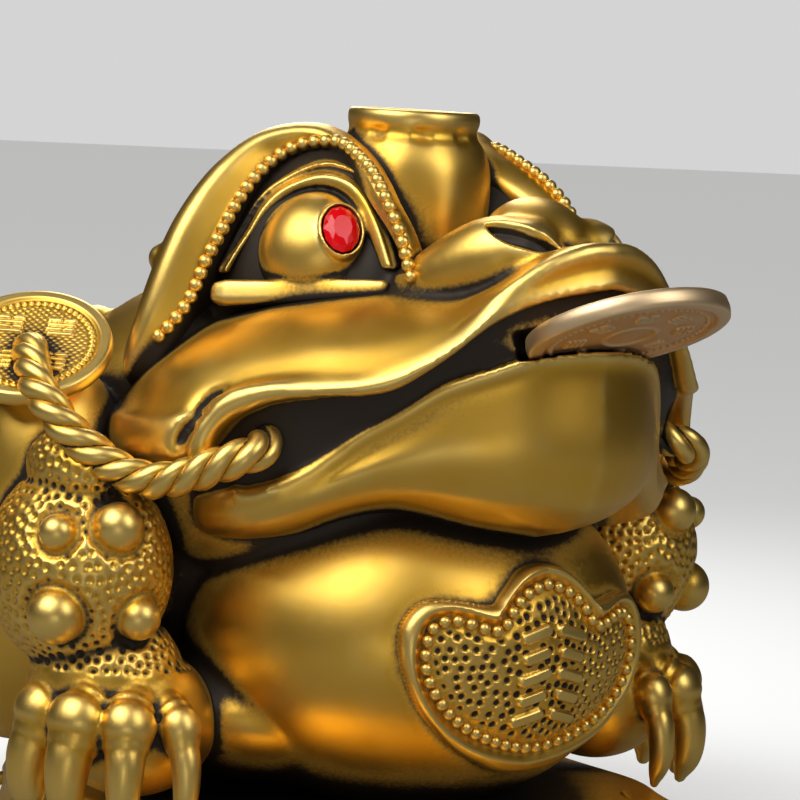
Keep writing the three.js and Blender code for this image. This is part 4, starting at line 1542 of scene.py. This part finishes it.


# Brass whose hollows keep a dark patina, which also serves as painted shade in wide hollows and wherever a
# piece is darkened for shade, with a painted highlight on convex edges: colour, roughness, metallic and a
# fine grain
def brassWithPatinaAndShade():
    group, inside, outside = newGroup(
        "brassWithPatinaAndShade",
        [
            ("Metal", "NodeSocketColor", (0.86, 0.5, 0.065, 1)),
            ("Highlight Metal", "NodeSocketColor", (1.0, 0.7, 0.2, 1)),
            ("Dark Patina And Shade", "NodeSocketColor", (0.022, 0.014, 0.007, 1)),
            ("Warm Patina And Shade", "NodeSocketColor", (0.16, 0.075, 0.012, 1)), ("Amount", "NodeSocketFloat", 0.5),
            ("Shine", "NodeSocketFloat", 0.3),
        ],
        [
            ("Colour", "NodeSocketColor"), ("Roughness", "NodeSocketFloat"), ("Metallic", "NodeSocketFloat"),
            ("Grain", "NodeSocketFloat"),
        ],
    )
    link = group.links.new
    place = group.nodes.new("ShaderNodeTexCoord").outputs["Object"]
    names = ("fineHollow", "midHollow", "broadHollow", "stained")
    fine, mid, broad, stained = (attribute(group, name) for name in names)
    cloud = node(group, "ShaderNodeTexNoise", Scale=90, Detail=5, Roughness=0.6)
    grain = node(group, "ShaderNodeTexNoise", Scale=1600, Detail=3, Roughness=0.6)
    for texture in (cloud, grain):
        link(place, texture.inputs["Vector"])
    cloudy = reckon(group, "SUBTRACT", cloud.outputs["Fac"], 0.5)
    grainy = reckon(group, "SUBTRACT", grain.outputs["Fac"], 0.5)
    # The broad hollows weigh in for painted shade and painted dark reflections as well as for patina
    hollow = reckon(group, "MULTIPLY", broad, 1.8)
    for value, weight in ((mid, 2.0), (fine, 2.2), (stained, 0.6), (cloudy, 0.22), (grainy, 0.4)):
        hollow = reckon(group, "MULTIPLY_ADD", value, weight, hollow)
    level = reckon(group, "SUBTRACT", reckon(group, "ADD", hollow, inside.outputs["Amount"]), 0.5)
    spread = node(group, "ShaderNodeMapRange")
    spread.interpolation_type = "SMOOTHSTEP"
    spread.inputs["From Min"].default_value = -0.04
    spread.inputs["From Max"].default_value = 0.66
    link(level, spread.inputs["Value"])
    patinaShadeMask = spread.outputs["Result"]
    # Convex edges turn to the brighter colour, a painted highlight
    ridge = reckon(group, "SUBTRACT", 0.0, reckon(group, "MULTIPLY_ADD", fine, 5.0, mid))
    edge = reckon(group, "MULTIPLY", ridge, 1.4, clamp=True)
    metal = blendColour(group, edge, inside.outputs["Metal"], inside.outputs["Highlight Metal"])
    deep = reckon(group, "POWER", patinaShadeMask, 0.8)
    patinaShadeColour = blendColour(group, deep, inside.outputs["Warm Patina And Shade"], inside.outputs["Dark Patina And Shade"])
    link(blendColour(group, patinaShadeMask, metal, patinaShadeColour), outside.inputs["Colour"])
    rough = reckon(group, "MULTIPLY_ADD", patinaShadeMask, 0.16, inside.outputs["Shine"])
    rough = reckon(group, "MULTIPLY_ADD", cloudy, 0.12, rough)
    link(rough, outside.inputs["Roughness"])
    link(reckon(group, "MULTIPLY_ADD", patinaShadeMask, -0.55, 1.0), outside.inputs["Metallic"])
    coarse = reckon(group, "MULTIPLY", cloud.outputs["Fac"], 0.6)
    link(reckon(group, "ADD", grain.outputs["Fac"], coarse), outside.inputs["Grain"])
    return group


brassGroup = brassWithPatinaAndShade()


def brassMaterial(name, values):
    made = bpy.data.materials.new(name)
    made.use_nodes = True
    tree = made.node_tree
    shader = tree.nodes["Principled BSDF"]
    group = tree.nodes.new("ShaderNodeGroup")
    group.node_tree = brassGroup
    for key, value in values.items():
        group.inputs[key].default_value = value
    for output, socket in (("Colour", "Base Color"), ("Roughness", "Roughness"), ("Metallic", "Metallic")):
        tree.links.new(group.outputs[output], shader.inputs[socket])
    bump = node(tree, "ShaderNodeBump", Strength=0.05, Distance=0.0002)
    tree.links.new(group.outputs["Grain"], bump.inputs["Height"])
    tree.links.new(bump.outputs["Normal"], shader.inputs["Normal"])
    return made


toadBrass = brassMaterial("toad_brass", {"Amount": 0.5, "Shine": 0.4})
dotBrass = brassMaterial("bead_brass", {"Amount": 0.34, "Shine": 0.42})
coinBrass = brassMaterial(
    "coin_brass", {
        "Metal": (0.92, 0.56, 0.26, 1), "Highlight Metal": (1.0, 0.74, 0.44, 1),
        "Warm Patina And Shade": (0.2, 0.09, 0.03, 1), "Amount": 0.34, "Shine": 0.46,
    }
)


def redGlass():
    made = bpy.data.materials.new("red_glass")
    made.use_nodes = True
    shader = made.node_tree.nodes["Principled BSDF"]
    shader.inputs["Base Color"].default_value = (0.7, 0.002, 0.006, 1)
    shader.inputs["Roughness"].default_value = 0.12
    shader.inputs["IOR"].default_value = 1.5
    shader.inputs["Transmission Weight"].default_value = 0.3
    return made


def finishPiece(piece, material, cadNode):
    piece.data.materials.clear()
    piece.data.materials.append(material)
    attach(piece, "root")
    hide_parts(cadNode)


for piece in casting:
    finishPiece(piece, dotBrass if "beads" in piece.name else toadBrass, "toad_casting")
finishPiece(mouthCoin, coinBrass, "mouth_coin")
glass = redGlass()
finishPiece(gems[0], glass, "right_eye_stone")
finishPiece(gems[1], glass, "left_eye_stone")
say("materials")

# Studio: a pale floor that runs out to the horizon, and soft boxes
studio = {
    "floor": (0.86, 0.86, 0.85, 1), "dim": 0.18, "world": (0.66, 0.66, 0.66, 1),
    "worldDim": (0.016, 0.014, 0.012, 1),
}


# Pale to the camera and darker in reflections, so that the metal keeps its contrast
def studioFloor():
    bpy.ops.object.select_all(action="DESELECT")
    bpy.ops.mesh.primitive_plane_add(size=8)
    floor = bpy.context.object
    floor.name = "floor"
    made = bpy.data.materials.new("floor")
    made.use_nodes = True
    tree = made.node_tree
    shader = tree.nodes["Principled BSDF"]
    shader.inputs["Roughness"].default_value = 0.8
    path = tree.nodes.new("ShaderNodeLightPath")
    pale = studio["floor"]
    dim = tuple(c * studio["dim"] for c in pale[:3]) + (1,)
    colour = blendColour(tree, path.outputs["Is Glossy Ray"], pale, dim)
    tree.links.new(colour, shader.inputs["Base Color"])
    floor.data.materials.append(made)
    floor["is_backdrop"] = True


studioFloor()


def studioWorld():
    world = bpy.data.worlds.new("studio")
    world.use_nodes = True
    tree = world.node_tree
    background = tree.nodes["Background"]
    path = tree.nodes.new("ShaderNodeLightPath")
    colour = blendColour(tree, path.outputs["Is Glossy Ray"], studio["world"], studio["worldDim"])
    tree.links.new(colour, background.inputs["Color"])
    bpy.context.scene.world = world


studioWorld()

# Soft boxes: [around, up, distance, width, height, watts]
softBoxes = {
    "key": (-86, 46, 520, 460, 380, 2.2),
    "front": (8, 36, 460, 200, 300, 0.6),
    "rim": (150, 35, 420, 120, 320, 0.5),
    "low": (-40, -4, 700, 260, 90, 0.25),
}


def addSoftBox(name, around, up, distance, width, height, watts):
    data = bpy.data.lights.new(name, "AREA")
    data.shape = "RECTANGLE"
    data.size, data.size_y = width * mm, height * mm
    data.energy = watts
    light = bpy.data.objects.new(name, data)
    bpy.context.scene.collection.objects.link(light)
    target = Vector((0, 0, 70)) * mm
    direction = Vector(towards(around, up))
    light.location = target + direction * distance * mm
    light.rotation_mode = "QUATERNION"
    light.rotation_quaternion = direction.to_track_quat("Z", "Y")


for name, values in softBoxes.items():
    addSoftBox(name, *values)
bpy.context.scene.view_settings.view_transform = "Standard"

total = 0
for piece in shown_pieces():
    piece.data.calc_loop_triangles()
    total += len(piece.data.loop_triangles)
    print(f"{piece.name}: {len(piece.data.loop_triangles)} triangles")
print(f"{total} triangles in all")

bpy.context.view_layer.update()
say("done")
